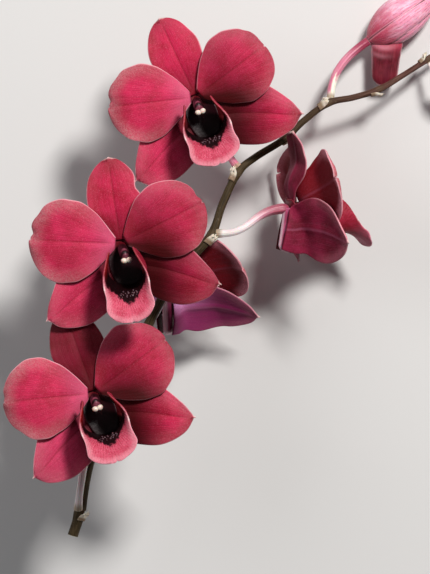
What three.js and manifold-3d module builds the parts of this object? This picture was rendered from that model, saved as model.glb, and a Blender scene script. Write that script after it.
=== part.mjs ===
// A cut flower spray (raceme) of a dendrobium orchid, lying on a table.
// Millimetres. The spray is laid out in its own plane first: X and Y along the plane, with the
// open faces of the blooms towards +Z. The whole spray is then tipped a little onto its three low
// points (the lip and a sepal of the bloom underneath, and the large bud), so that it lies on z = 0.
import * as THREE from "three";
import Module from "manifold-3d";
import { mergeVertices } from "three/addons/utils/BufferGeometryUtils.js";

const wasm = await Module();
wasm.setup();

// ---- driving dimensions of one bloom ------------------------------------------------------
const BLADE = 0.8; // thickness of every sepal and petal, and of the lip's wall
const SEAT = 0.3; // clearance where two pieces meet

const PETAL = { length: 32.3, claw: 2.1, widest: 0.6, azimuth: 75, root: [1.9, 0.8] };
const DORSAL = { length: 32, halfWidth: 8.9, claw: 3, widest: 0.58, root: [0, 1.3] };
const MENTUM = { halfThickness: 2.1, top: [-0.4, -3.2], tip: [-17.6, -9.2], topHalf: 2.2, tipHalf: 5.4 };
const COLUMN = { base: [0, -1.0, -0.4], tip: [0, -5.4, 7.6], baseRadius: 1.8, tipRadius: 2.7 };
const LIP_RADIUS = 7.4; // of the tube that the two side lobes make round the column
const LIP_STRAIGHT = 1.9; // angle from the floor, in radians, past which the side lobes run straight on

// Left lateral sepal: its upper and lower margins, from the mentum out to the tip.
const SEPAL_UPPER = [
  [-2.9, -0.6, -4.4], [-3.6, 0.6, -2.6], [-6.4, 1.0, -1.6], [-14, 0.6, -0.9],
  [-23.6, -5, -0.5], [-30.4, -15, -0.6], [-33, -21.6, -0.9],
];
const SEPAL_LOWER = [
  [-2.9, -14.4, -13.4], [-3.3, -18.2, -8.6], [-5, -20, -4.4], [-10.4, -24, -3.2],
  [-18.4, -27.2, -2], [-27.6, -26.4, -1.3], [-32.6, -22.6, -1],
];

// Floor of the lip in the bloom's mirror plane (y, z), from its claw to the apex of the mid-lobe.
const LIP_FLOOR = [
  [-15.9, -2.7], [-17, 2.5], [-17.5, 8], [-17.8, 13], [-19.8, 17.6], [-24, 21.4], [-27.9, 23.6],
];
// Half the arc across the lip at those points, and how tightly the arc is curled (1 = the tube).
const LIP_HALF_ARC = [6, 15, 20.4, 19.4, 10.2, 10, 9.8];
const LIP_CURL = [1, 1, 1, 1, 0.75, 0.25, 0.06];
const LIP_ROUND_FROM = 0.7; // share of the floor past which the mid-lobe rounds off

// ---- where each bloom sits in the spray's plane ---------------------------------------------
// base: top of the ovary; face: direction the bloom looks; up: direction of its dorsal sepal;
// lean: forward lean of the sepals and petals in degrees (mean, towards the dorsal sepal, to the left);
// dorsal: the dorsal sepal's share of the full length, and how far it turns to the left in degrees;
// petals: half-width of the left and the right petal, and how far each turns up in degrees;
// lift: rise of the outer part of the two lateral sepals; reach: their share of the full reach;
// lip: how much wider than usual it is, and how far it swings to the right on its claw in degrees;
// sway: how far the column's tip leans to the right; node: where on the rachis the pedicel starts,
// leaving towards out; back: direction in which the pedicel comes to the bloom from behind;
// arm: how far the pedicel holds those two directions before it turns.
const BLOOMS = [
  { name: "bloom_1", base: [-47.2, -41.7, 48], face: [-0.04, 0.04, 0.99], up: [-0.33, 0.94, -0.07],
    lean: [4, 0, 0], dorsal: [1, 0], petals: [[15.1, -1.5], [14.9, 2]], lift: [0, 0.05], reach: [0.96, 1],
    lip: [1.08, 2.5], sway: 0, size: 1.03, node: 1, out: [0.05, 0.85, 0.5],
    back: [0.04, -0.3, -0.95], arm: [16, 18] },
  { name: "bloom_2", base: [-18.3, 0.4, 21.5], face: [0.31, 0.68, -0.66], up: [-0.2, 0.73, 0.66],
    lean: [22, 0, -13], dorsal: [1, 0], petals: [[15.9, 0], [15.9, 0]], lift: [0.08, 0], reach: [1, 1],
    lip: [1, 0], sway: 0, size: 0.98, node: 2, out: [0.2, 0.3, -0.9],
    back: [-0.4, -0.85, 0.15], arm: [4, 6] },
  { name: "bloom_3", base: [-36.5, 16.8, 53], face: [-0.05, -0.09, 0.995], up: [-0.21, 0.975, 0.07],
    lean: [3, -1, 0], dorsal: [0.95, -3.5], petals: [[15.5, -0.5], [14.3, 0]], lift: [0, 0], reach: [1, 1],
    lip: [1, 1], sway: 1.4, size: 1.04, node: 3, out: [-0.6, 0.3, 0.6],
    back: [0.05, 0.09, -1], arm: [8, 12] },
  { name: "bloom_4", base: [31.6, 32.6, 34], face: [0.87, 0.37, -0.31], up: [-0.33, 0.93, 0.18],
    lean: [13.5, 13, 0], dorsal: [0.85, 0], petals: [[15.2, 1], [15.2, 0]], lift: [0.2, 0.1], reach: [1, 1],
    lip: [1, 0], sway: 0, size: 0.97, node: 4, out: [0.96, -0.05, 0.2],
    back: [-0.95, -0.02, 0.1], arm: [14, 16] },
  { name: "bloom_5", base: [-7.4, 73.7, 46], face: [-0.03, -0.01, 0.99], up: [-0.34, 0.94, -0.03],
    lean: [2, 4, 0], dorsal: [1, 5], petals: [[14.9, -1.5], [14.5, 2]], lift: [0, 0.08], reach: [1, 1.115],
    lip: [1.1, 1.5], sway: 0, size: 1.0, node: 5, out: [-0.62, 0.62, -0.2],
    back: [0.25, -0.15, -0.95], arm: [8, 19] },
];

// ---- the rachis: the curved stem that carries everything --------------------------------------
const RACHIS = [
  [-55.8, -97.5, 29], [-53, -88.1, 29.5], [-49.1, -68.3, 29], [-40.4, -45, 29], [-30.6, -25, 31.5],
  [-25.2, -13, 35], [-19, -1.5, 37.5], [-10.4, 10, 39.4], [-1.4, 20.4, 38.6], [3, 32.5, 35.6],
  [9, 44.9, 32], [16, 51, 29.5], [26.9, 57.9, 27], [35, 65.4, 26], [44.5, 72.3, 25.5],
  [54.6, 74.6, 24.5], [64.6, 77.8, 23], [74, 83.4, 20.8], [84, 89.9, 18.2], [97, 98.8, 15.4],
  [110, 107.6, 12.6],
];
const RACHIS_RADIUS = [2.05, 0.95]; // at the cut end and at the tip
const RACHIS_RINGS = 56;
const RACHIS_SIDES = 10;
const NODE_SWELL = 0.18; // how far the rachis swells at each node
// Distance along the rachis, as a share of its length, of every node from the cut end up.
const NODES = [0.05, 0.235, 0.33, 0.4, 0.5, 0.612, 0.7, 0.8, 0.9];

// ---- buds, bracts and the pose in which the spray rests ---------------------------------------
const LARGE_BUD = { base: [60.8, 97.4, 14.5], tip: [88, 116.5, 15], radius: 8.6, node: 7, out: [0, 0.85, -0.5] };
const SPUR = { start: [68.3, 100, 14.2], end: [66.6, 79.5, 12], width: [12.8, 9.6], thickness: [7.6, 4.8] };
const TIP_BUDS = [
  { node: 9, out: [0.35, -0.85, 0.4], stalk: 9, length: 13, radius: 3.3 },
  { share: 0.985, out: [-0.35, 0.9, 0.2], stalk: 5, length: 9.5, radius: 2.5 },
  { share: 1, out: [0.8, 0.6, 0], stalk: 0, length: 7, radius: 1.8 },
];
const PEDICEL_RADIUS = [1.45, 2.1]; // at the rachis and at the ovary
const STALK_RISE = 2.1; // along the rachis, from the node to the middle of the stalk's foot
const BRACT = { length: 4.4, wrap: 1.25, flare: 0.75, above: 0.05 }; // above: share past the node
const BRACT_SIDES = [
  [0.8, -0.3, 0.5], [0.9, -0.3, -0.3], [-0.8, 0.4, 0.4], [0.5, -0.4, 0.8], [-0.4, 0.8, 0.5],
  [0.35, -0.8, -0.5], [-0.7, 0.2, 0.7], [0.5, -0.85, 0.2], [-0.3, 0.9, 0.3],
];
const REST_TURN = [-5.5897, 5.6585]; // degrees about X, then about Y, that bring the low points level

const COLOURS = {
  rachis: 0x7d6a45, bract: 0xe6dcc2, pedicel: 0xd9a3b8, tepal: 0xb8264f, lip: 0xc04468,
  column: 0x3a0d1c, bud: 0xcf6f8e,
};

// ---- shapes ------------------------------------------------------------------------------------
const clamp = (value, low, high) => Math.min(high, Math.max(low, value));
const vector = (point) => new THREE.Vector3(...point);
const smoothstep = (low, high, value) => {
  const share = clamp((value - low) / (high - low), 0, 1);
  return share * share * (3 - 2 * share);
};

/** A curve through points in space, from 0 at the first to 1 at the last. */
function curveThrough(points) {
  const curve = new THREE.CatmullRomCurve3(points.map(vector), false, "catmullrom", 0.5);
  return (share) => curve.getPoint(clamp(share, 0, 1));
}

/** The same for a list of plain values. */
function valueThrough(values) {
  const curve = curveThrough(values.map((value, index) => [value, index, 0]));
  return (share) => curve(share).x;
}

/** A closed geometry from vertices and triangles, turned so that its faces look outwards. */
function closedGeometry(vertices, triangles) {
  const geometry = new THREE.BufferGeometry();
  const flat = vertices.flatMap((vertex) => [vertex.x, vertex.y, vertex.z]);
  const volume = triangles.reduce((sum, [a, b, c]) => {
    const cross = new THREE.Vector3().crossVectors(vertices[b], vertices[c]);
    return sum + vertices[a].dot(cross);
  }, 0);
  const facing = volume > 0 ? triangles : triangles.map(([a, b, c]) => [a, c, b]);
  geometry.setAttribute("position", new THREE.Float32BufferAttribute(flat, 3));
  geometry.setIndex(facing.flat());
  geometry.computeVertexNormals();
  return geometry;
}

/** A closed blade: a surface over (s, t), s from 0 to 1 and t from -1 to 1, given a thickness.
 *  Both faces carry the same triangles, so they never cross where the blade is waved. */
function bladeGeometry(surface, lengthSteps, widthSteps, thickness = BLADE) {
  const step = 1e-3;
  const front = [];
  const back = [];
  for (const s of lengthSteps) {
    for (let column = 0; column <= widthSteps; column += 1) {
      const t = (2 * column) / widthSteps - 1;
      const middle = surface(s, t);
      const along = surface(Math.min(s + step, 1), t).sub(surface(Math.max(s - step, 0), t));
      const across = surface(s, Math.min(t + step, 1)).sub(surface(s, Math.max(t - step, -1)));
      const normal = along.cross(across).normalize().multiplyScalar(thickness / 2);
      front.push(middle.clone().add(normal));
      back.push(middle.clone().sub(normal));
    }
  }
  const columns = widthSteps + 1;
  const rows = lengthSteps.length;
  const offset = front.length;
  const triangles = [];
  for (let row = 0; row < rows - 1; row += 1) {
    for (let column = 0; column < widthSteps; column += 1) {
      const a = row * columns + column;
      const b = a + 1;
      const c = a + columns;
      const d = c + 1;
      triangles.push([a, c, b], [b, c, d]);
      triangles.push([offset + a, offset + b, offset + c], [offset + b, offset + d, offset + c]);
    }
  }
  const rim = [];
  for (let column = 0; column < widthSteps; column += 1) rim.push(column);
  for (let row = 0; row < rows - 1; row += 1) rim.push(row * columns + widthSteps);
  for (let column = widthSteps; column > 0; column -= 1) rim.push((rows - 1) * columns + column);
  for (let row = rows - 1; row > 0; row -= 1) rim.push(row * columns);
  rim.forEach((here, index) => {
    const next = rim[(index + 1) % rim.length];
    triangles.push([here, next, offset + here], [next, offset + next, offset + here]);
  });
  return closedGeometry([...front, ...back], triangles);
}

/** A closed round body along a path, with the given half-width and half-depth at each ring. */
function sweptGeometry(path, halfWidth, halfDepth, side, rings, sides) {
  const vertices = [];
  const triangles = [];
  const step = 1e-3;
  for (let ring = 0; ring <= rings; ring += 1) {
    const share = ring / rings;
    const centre = path(share);
    const along = path(Math.min(share + step, 1)).sub(path(Math.max(share - step, 0))).normalize();
    const across = new THREE.Vector3().crossVectors(along, side).normalize();
    const depth = new THREE.Vector3().crossVectors(across, along);
    for (let corner = 0; corner < sides; corner += 1) {
      const angle = (2 * Math.PI * corner) / sides;
      const vertex = centre.clone();
      vertex.addScaledVector(across, halfWidth(share) * Math.cos(angle));
      vertex.addScaledVector(depth, halfDepth(share) * Math.sin(angle));
      vertices.push(vertex);
    }
  }
  const corner = (ring, index) => ring * sides + (index % sides);
  for (let ring = 0; ring < rings; ring += 1) {
    for (let index = 0; index < sides; index += 1) {
      const [a, b] = [corner(ring, index), corner(ring, index + 1)];
      const [c, d] = [corner(ring + 1, index), corner(ring + 1, index + 1)];
      triangles.push([a, b, c], [b, d, c]);
    }
  }
  vertices.push(path(0), path(1));
  for (let index = 0; index < sides; index += 1) {
    triangles.push([vertices.length - 2, corner(0, index + 1), corner(0, index)]);
    triangles.push([vertices.length - 1, corner(rings, index), corner(rings, index + 1)]);
  }
  return closedGeometry(vertices, triangles);
}

/** Several closed geometries joined into one body. */
function joined(geometries) {
  const solids = geometries.map((geometry) => {
    const bare = geometry.clone();
    bare.deleteAttribute("normal");
    const welded = mergeVertices(bare, 1e-4);
    const mesh = new wasm.Mesh({
      numProp: 3,
      vertProperties: new Float32Array(welded.getAttribute("position").array),
      triVerts: new Uint32Array(welded.getIndex().array),
    });
    return new wasm.Manifold(mesh);
  });
  const whole = solids.reduce((sum, solid) => sum.add(solid)).getMesh();
  const geometry = new THREE.BufferGeometry();
  geometry.setAttribute("position", new THREE.BufferAttribute(whole.vertProperties, 3));
  geometry.setIndex(new THREE.BufferAttribute(whole.triVerts, 1));
  geometry.computeVertexNormals();
  return geometry;
}

function piece(name, geometry, colour, roughness) {
  const material = new THREE.MeshStandardMaterial({ color: colour, roughness, metalness: 0 });
  const mesh = new THREE.Mesh(geometry, material);
  mesh.name = name;
  return mesh;
}

// ---- sepals and petals ---------------------------------------------------------------------------
/** Leans a point of a sepal or petal forwards. The lean (in degrees) varies round the bloom from
 *  the dorsal sepal to the left, and fades out towards the column. */
function leaned(point, [mean, towardsDorsal, towardsLeft]) {
  const azimuth = Math.atan2(-point.x, point.y);
  const spread = Math.hypot(point.x, Math.max(point.y, 0));
  const degrees = mean + towardsDorsal * Math.cos(azimuth) + towardsLeft * Math.sin(azimuth);
  const angle = THREE.MathUtils.degToRad(degrees) * smoothstep(4, 18, spread);
  const radius = Math.hypot(point.x, point.y);
  const turned = radius * Math.cos(angle) - point.z * Math.sin(angle);
  const scale = radius > 1e-6 ? turned / radius : 1;
  const height = point.z * Math.cos(angle) + radius * Math.sin(angle);
  return new THREE.Vector3(point.x * scale, point.y * scale, height);
}

/** Share of the full half-width at s: a narrow claw, widest at `widest`, then an elliptic tip. */
function outline(s, widest, fullness) {
  if (s < widest) return (1 - ((widest - s) / widest) ** 2) ** fullness;
  return Math.sqrt(Math.max(0, 1 - ((s - widest) / (1 - widest)) ** 2));
}

/** A broad petal: side is -1 for the left and 1 for the right, as the bloom is looked at. */
function petalSurface(side, phase, [halfWidth, turn]) {
  const azimuth = THREE.MathUtils.degToRad(PETAL.azimuth - turn);
  return (s, t) => {
    const half = PETAL.claw * (1 - s) ** 2 + halfWidth * outline(s, PETAL.widest, 1.05) + 0.5 * s;
    const out = PETAL.root[0] + PETAL.length * s * Math.sin(azimuth) - half * t * Math.cos(azimuth);
    const up = PETAL.root[1] + PETAL.length * s * Math.cos(azimuth) + half * t * Math.sin(azimuth);
    const arch = 2.2 * Math.sin(2.7 * s) - 2.6 * s ** 4 - 1.3 * t * t * s;
    const wave = 0.6 * t ** 3 * Math.sin(9 * s + phase) + 0.45 * s ** 4 * Math.cos(5 * t + phase);
    return new THREE.Vector3(side * out, up, 0.9 + arch + wave);
  };
}

/** The dorsal sepal: a narrower blade straight up or turned a little aside, behind the petals. */
function dorsalSurface(phase, [reach, turn]) {
  const aside = THREE.MathUtils.degToRad(turn);
  return (s, t) => {
    const half = DORSAL.claw * (1 - s) + DORSAL.halfWidth * outline(s, DORSAL.widest, 1.5) + 0.5 * s;
    const along = DORSAL.length * reach * s;
    const x = half * t * Math.cos(aside) - along * Math.sin(aside);
    const y = half * t * Math.sin(aside) + along * Math.cos(aside);
    const arch = 1.2 * Math.sin(3.1 * s) - 3 * s ** 3 - 1.0 * t * t * s;
    const wave = 0.4 * t ** 3 * Math.sin(8 * s + phase);
    return new THREE.Vector3(x, DORSAL.root[1] + y, arch + wave - 1.3);
  };
}

const sepalUpper = curveThrough(SEPAL_UPPER);
const sepalLower = curveThrough(SEPAL_LOWER);

/** A lateral sepal: clasps the mentum with its base, then turns outwards into a broad blade. */
function lateralSurface(side, lift, reach) {
  return (s, t) => {
    const share = (1 - t) / 2;
    const point = sepalUpper(s).lerp(sepalLower(s), share);
    const swell = Math.sin(Math.PI * share) * (1 - s ** 6);
    const blade = smoothstep(0.15, 0.45, s);
    point.x = -side * (point.x - 0.9 * swell * (1 - blade)) * (1 + (reach - 1) * blade);
    point.y += lift * Math.max(0, Math.abs(point.x) - 6);
    point.z += 1.3 * swell * blade;
    return point;
  };
}

// ---- lip and column --------------------------------------------------------------------------------
const lipFloor = curveThrough(LIP_FLOOR.map(([y, z]) => [0, y, z]));
const lipHalfArc = valueThrough(LIP_HALF_ARC);
const lipCurl = valueThrough(LIP_CURL);

/** The lip: a trough along its floor, curled into a tube by the side lobes, whose upper parts run
 *  straight, and flat at the mid-lobe. It swings on its claw. */
function lipSurface([widen, swing]) {
  const step = 1e-3;
  const claw = lipFloor(0);
  const swung = new THREE.Vector3(0, 1, 0);
  return (u, v) => {
    const floor = lipFloor(u);
    const along = lipFloor(u + step).sub(lipFloor(u - step)).normalize();
    const curl = lipCurl(u) / LIP_RADIUS;
    const past = Math.max(0, u - LIP_ROUND_FROM) / (1 - LIP_ROUND_FROM);
    const arc = lipHalfArc(u) * Math.max(Math.sqrt(1 - past ** 2), 0.2) * v;
    const angle = clamp(curl * arc, -LIP_STRAIGHT, LIP_STRAIGHT);
    const on = arc - angle / curl;
    const rise = (1 - Math.cos(angle)) / curl + on * Math.sin(angle);
    const x = (Math.sin(angle) / curl + on * Math.cos(angle)) * widen;
    const point = new THREE.Vector3(x, floor.y + along.z * rise, floor.z - along.y * rise).sub(claw);
    return point.applyAxisAngle(swung, THREE.MathUtils.degToRad(swing)).add(claw);
  };
}

/** The column, with the anther cap at its tip, leaning aside by `sway` at the tip. */
function columnGeometry(sway) {
  const tip = [sway, COLUMN.tip[1], COLUMN.tip[2]];
  const path = curveThrough([COLUMN.base, [0.4 * sway, -2.6, 3.6], tip]);
  const grow = (share) => THREE.MathUtils.lerp(COLUMN.baseRadius, COLUMN.tipRadius, share);
  const shaft = sweptGeometry(path, grow, (share) => 0.85 * grow(share), new THREE.Vector3(1, 0, 0), 4, 8);
  const cap = new THREE.SphereGeometry(1, 8, 5);
  cap.scale(2.5, 1.6, 1.5);
  cap.rotateX(-0.5);
  cap.translate(tip[0], tip[1] - 0.5, tip[2] + 0.6);
  cap.deleteAttribute("uv");
  return joined([shaft, cap]);
}

// ---- stems --------------------------------------------------------------------------------------------
const rachisPath = curveThrough(RACHIS);

function rachisRadius(share) {
  const taper = THREE.MathUtils.lerp(RACHIS_RADIUS[0], RACHIS_RADIUS[1], share);
  const swell = NODES.reduce((sum, node) => sum + Math.exp(-(((share - node) / 0.012) ** 2)), 0);
  return taper * (1 + NODE_SWELL * Math.min(swell, 1));
}

/** Where a stalk of the given radius that leaves towards `out` starts beside the rachis. */
function stalkStart(share, out, radius) {
  const along = rachisPath(share + 0.004).sub(rachisPath(share - 0.004)).normalize();
  const sideways = out.clone().projectOnPlane(along).normalize();
  const offset = rachisRadius(share) + SEAT + radius * Math.abs(out.dot(along));
  return rachisPath(share).addScaledVector(along, STALK_RISE).addScaledVector(sideways, offset);
}

/** A pedicel with its ovary, and behind the lip the mentum, a blunt flat spur. */
function pedicelGeometry(bloom, placed) {
  const out = vector(bloom.out).normalize();
  const start = stalkStart(NODES[bloom.node - 1], out, PEDICEL_RADIUS[0]);
  const apex = new THREE.Vector3(0, -0.6, -3.4).applyMatrix4(placed);
  const back = vector(bloom.back).normalize();
  const bezier = new THREE.CubicBezierCurve3(
    start, start.clone().addScaledVector(out, bloom.arm[0]),
    apex.clone().addScaledVector(back, bloom.arm[1]), apex,
  );
  const radius = (share) => THREE.MathUtils.lerp(...PEDICEL_RADIUS, share ** 3);
  const side = new THREE.Vector3().crossVectors(out, back).normalize();
  const stalk = sweptGeometry((share) => bezier.getPoint(share), radius, radius, side, 12, 8);
  const [top, tip] = [MENTUM.top, MENTUM.tip];
  const axis = curveThrough([[0, ...top], [0, ...top.map((value, index) => (value + tip[index]) / 2)], [0, ...tip]]);
  const round = (share) => Math.sqrt(Math.max(0.12, 1 - Math.max(0, (share - 0.8) / 0.2) ** 2));
  const half = (share) => THREE.MathUtils.lerp(MENTUM.topHalf, MENTUM.tipHalf, share) * round(share);
  const thick = (share) => MENTUM.halfThickness * round(share);
  const spur = sweptGeometry(axis, half, thick, new THREE.Vector3(1, 0, 0), 6, 10);
  spur.applyMatrix4(placed);
  return joined([stalk, spur]);
}

/** A papery bract: a short pointed scale wrapped round one side of the rachis at a node. */
function bractGeometry(node, side) {
  const along = rachisPath(node + 0.004).sub(rachisPath(node - 0.004));
  const stretch = (0.008 * BRACT.length) / along.length(); // share of the rachis that it covers
  along.normalize();
  const out = vector(side).projectOnPlane(along).normalize();
  const across = new THREE.Vector3().crossVectors(along, out);
  const surface = (s, t) => {
    const angle = t * BRACT.wrap * (1 - 0.75 * s ** 2);
    const share = node + stretch * (s - 1 + BRACT.above);
    const radius = rachisRadius(share) + SEAT + 0.35 + BRACT.flare * s ** 2;
    const point = rachisPath(share);
    return point.addScaledVector(out, radius * Math.cos(angle)).addScaledVector(across, radius * Math.sin(angle));
  };
  return bladeGeometry(surface, [0, 0.35, 0.7, 1], 4, 0.6);
}

/** An egg-shaped bud between two points, pointed at its far end. */
function budShape(base, tip, radius) {
  const path = curveThrough([base.toArray(), base.clone().lerp(tip, 0.5).toArray(), tip.toArray()]);
  const half = (share) => radius * (0.12 + 0.88 * Math.sin(Math.PI * clamp(share, 0.02, 0.985) ** 0.85) ** 0.75);
  return sweptGeometry(path, half, half, new THREE.Vector3(0.1, 0.2, 1), 8, 10);
}

function largeBudGeometry() {
  const bud = budShape(vector(LARGE_BUD.base), vector(LARGE_BUD.tip), LARGE_BUD.radius);
  const path = curveThrough([SPUR.start, SPUR.start.map((value, axis) => (value + SPUR.end[axis]) / 2), SPUR.end]);
  const half = ([first, last]) => (share) => {
    const round = Math.sqrt(1 - 0.7 * Math.max(0, (share - 0.8) / 0.2) ** 2);
    return THREE.MathUtils.lerp(first, last, share) / 2 * round;
  };
  const spur = sweptGeometry(path, half(SPUR.width), half(SPUR.thickness), new THREE.Vector3(0, 0, 1), 5, 10);
  return joined([bud, spur]);
}

function largeBudPedicelGeometry() {
  const node = NODES[LARGE_BUD.node - 1];
  const out = vector(LARGE_BUD.out).normalize();
  const start = stalkStart(node, out, 1.5);
  const base = vector(LARGE_BUD.base);
  const axis = vector(LARGE_BUD.tip).sub(base).normalize();
  const end = base.clone().addScaledVector(axis, -SEAT);
  const bezier = new THREE.CubicBezierCurve3(
    start, start.clone().addScaledVector(out, 13), end.clone().addScaledVector(axis, -8), end,
  );
  const radius = (share) => 1.5 + 0.3 * share;
  return sweptGeometry((share) => bezier.getPoint(share), radius, radius, new THREE.Vector3(1, -1, 0), 12, 8);
}

function tipBudGeometry(bud) {
  const share = bud.share ?? NODES[bud.node - 1];
  const out = vector(bud.out).normalize();
  const offset = bud.stalk ? rachisRadius(share) + 0.5 : SEAT + 0.1;
  const start = rachisPath(share).addScaledVector(out, offset);
  const base = start.clone().addScaledVector(out, bud.stalk);
  const along = rachisPath(1).sub(rachisPath(0.97)).normalize();
  const heading = out.clone().add(along).normalize();
  const tip = base.clone().addScaledVector(heading, bud.length);
  const shape = budShape(base.clone().addScaledVector(heading, -0.5), tip, bud.radius);
  if (!bud.stalk) return budShape(base, tip, bud.radius);
  const path = curveThrough([start.toArray(), start.clone().lerp(base, 0.5).toArray(), base.toArray()]);
  const radius = () => 0.9;
  return joined([sweptGeometry(path, radius, radius, new THREE.Vector3(0.2, 0.1, 1), 4, 8), shape]);
}

// ---- assembly --------------------------------------------------------------------------------------------
const SEPAL_STEPS = [0, 0.14, 0.27, 0.42, 0.58, 0.74, 0.89, 1];
const PETAL_STEPS = [0, 0.08, 0.2, 0.36, 0.54, 0.72, 0.87, 0.96, 1];
const LIP_STEPS = [0, 0.1, 0.2, 0.32, 0.44, 0.54, 0.6, 0.66, 0.74, 0.84, 0.93, 1];

const spray = new THREE.Group();
spray.add(piece("rachis", sweptGeometry(
  rachisPath, rachisRadius, rachisRadius, new THREE.Vector3(0, 0, 1), RACHIS_RINGS, RACHIS_SIDES,
), COLOURS.rachis, 0.6));
NODES.forEach((node, index) => {
  spray.add(piece(`bract_${index + 1}`, bractGeometry(node, BRACT_SIDES[index]), COLOURS.bract, 0.7));
});

BLOOMS.forEach((bloom, index) => {
  const face = vector(bloom.face).normalize();
  const up = vector(bloom.up).projectOnPlane(face).normalize();
  const right = new THREE.Vector3().crossVectors(up, face);
  const size = bloom.size;
  const placed = new THREE.Matrix4().makeBasis(right, up, face);
  placed.scale(new THREE.Vector3(size, size, size));
  placed.setPosition(...bloom.base);
  spray.add(piece(`${bloom.name}_pedicel`, pedicelGeometry(bloom, placed), COLOURS.pedicel, 0.5));

  const head = new THREE.Group();
  placed.decompose(head.position, head.quaternion, head.scale);
  spray.add(head);
  const blade = (part, surface, steps, across, colour) => {
    const geometry = bladeGeometry(surface, steps, across, BLADE / size);
    head.add(piece(`${bloom.name}_${part}`, geometry, colour, 0.45));
  };
  const tepal = (surface) => (s, t) => leaned(surface(s, t), bloom.lean);
  blade("dorsal_sepal", tepal(dorsalSurface(index, bloom.dorsal)), SEPAL_STEPS, 4, COLOURS.tepal);
  blade("petal_left", tepal(petalSurface(-1, index, bloom.petals[0])), PETAL_STEPS, 6, COLOURS.tepal);
  blade("petal_right", tepal(petalSurface(1, index + 3, bloom.petals[1])), PETAL_STEPS, 6, COLOURS.tepal);
  ["left", "right"].forEach((word, turn) => {
    const surface = tepal(lateralSurface(2 * turn - 1, bloom.lift[turn], bloom.reach[turn]));
    blade(`lateral_sepal_${word}`, surface, SEPAL_STEPS, 4, COLOURS.tepal);
  });
  blade("lip", lipSurface(bloom.lip), LIP_STEPS, 8, COLOURS.lip);
  head.add(piece(`${bloom.name}_column`, columnGeometry(bloom.sway), COLOURS.column, 0.4));
});

spray.add(piece("large_bud", largeBudGeometry(), COLOURS.bud, 0.5));
spray.add(piece("large_bud_pedicel", largeBudPedicelGeometry(), COLOURS.pedicel, 0.5));
TIP_BUDS.forEach((bud, index) => {
  spray.add(piece(`tip_bud_${index + 1}`, tipBudGeometry(bud), COLOURS.bud, 0.5));
});

// Laid on its low points, with the middle of its footprint at the origin.
spray.rotation.set(...REST_TURN.map(THREE.MathUtils.degToRad), 0, "ZYX");
const footprint = new THREE.Box3().setFromObject(spray, true);
const middle = footprint.getCenter(new THREE.Vector3());
spray.position.set(-middle.x, -middle.y, -footprint.min.z);
const group = new THREE.Group();
group.add(spray);
export default group;
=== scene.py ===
"""A cut spray of a dendrobium orchid, lying face up on a pale table.

Shapes are worked out in millimetres in the spray's own plane: X and Y along the plane, the open
faces of the blooms towards +Z. The whole spray is then tipped a little onto its three low points
and put into the row frame, in metres."""

import bpy
import numpy as np
from numpy import cos, pi, radians, sin, sqrt
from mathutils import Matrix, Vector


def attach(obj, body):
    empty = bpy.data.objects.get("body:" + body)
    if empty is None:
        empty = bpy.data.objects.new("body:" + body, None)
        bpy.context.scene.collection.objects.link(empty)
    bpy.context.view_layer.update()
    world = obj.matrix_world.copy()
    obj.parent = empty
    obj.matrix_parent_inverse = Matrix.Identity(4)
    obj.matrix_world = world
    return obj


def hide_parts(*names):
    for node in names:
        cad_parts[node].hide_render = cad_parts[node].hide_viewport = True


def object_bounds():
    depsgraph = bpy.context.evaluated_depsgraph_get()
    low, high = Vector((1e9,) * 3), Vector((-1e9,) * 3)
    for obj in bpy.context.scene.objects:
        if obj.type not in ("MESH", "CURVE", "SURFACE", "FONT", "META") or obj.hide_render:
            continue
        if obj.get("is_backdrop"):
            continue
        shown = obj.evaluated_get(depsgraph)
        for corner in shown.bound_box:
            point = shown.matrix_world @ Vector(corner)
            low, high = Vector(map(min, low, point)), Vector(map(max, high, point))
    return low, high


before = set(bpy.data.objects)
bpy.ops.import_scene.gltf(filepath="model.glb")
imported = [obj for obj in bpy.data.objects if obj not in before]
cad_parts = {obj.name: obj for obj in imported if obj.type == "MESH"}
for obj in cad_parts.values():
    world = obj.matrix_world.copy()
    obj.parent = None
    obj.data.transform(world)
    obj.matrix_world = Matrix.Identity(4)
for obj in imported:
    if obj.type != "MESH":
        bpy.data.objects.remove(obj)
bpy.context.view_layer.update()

# ---- the table, the light and the camera ---------------------------------------------------------
# The spray lies on a plain pale table under two soft lights, the stronger from its upper right and
# the other from its upper left. The camera looks straight down on the spray's own plane, from far
# enough to keep it flat.
SPRAY_TIP = radians([-5.5897, 5.6585])  # about X, then about Y
SPRAY_SHIFT = np.array([-19.1658, -13.0801, 11.4023])


def rotation(axis, angle):
    """The matrix that turns points by an angle about X, Y or Z, which are 0, 1 and 2."""
    first, second = (axis + 1) % 3, (axis + 2) % 3
    matrix = np.eye(3)
    matrix[first, first] = matrix[second, second] = cos(angle)
    matrix[second, first], matrix[first, second] = sin(angle), -sin(angle)
    return matrix


LYING = rotation(1, SPRAY_TIP[1]) @ rotation(0, SPRAY_TIP[0])


def laid(points):
    """Points of the spray's plane (mm) as they lie on the table (m): turned, shifted, scaled."""
    return (np.asarray(points, float) @ LYING.T + SPRAY_SHIFT) / 1000


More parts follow.
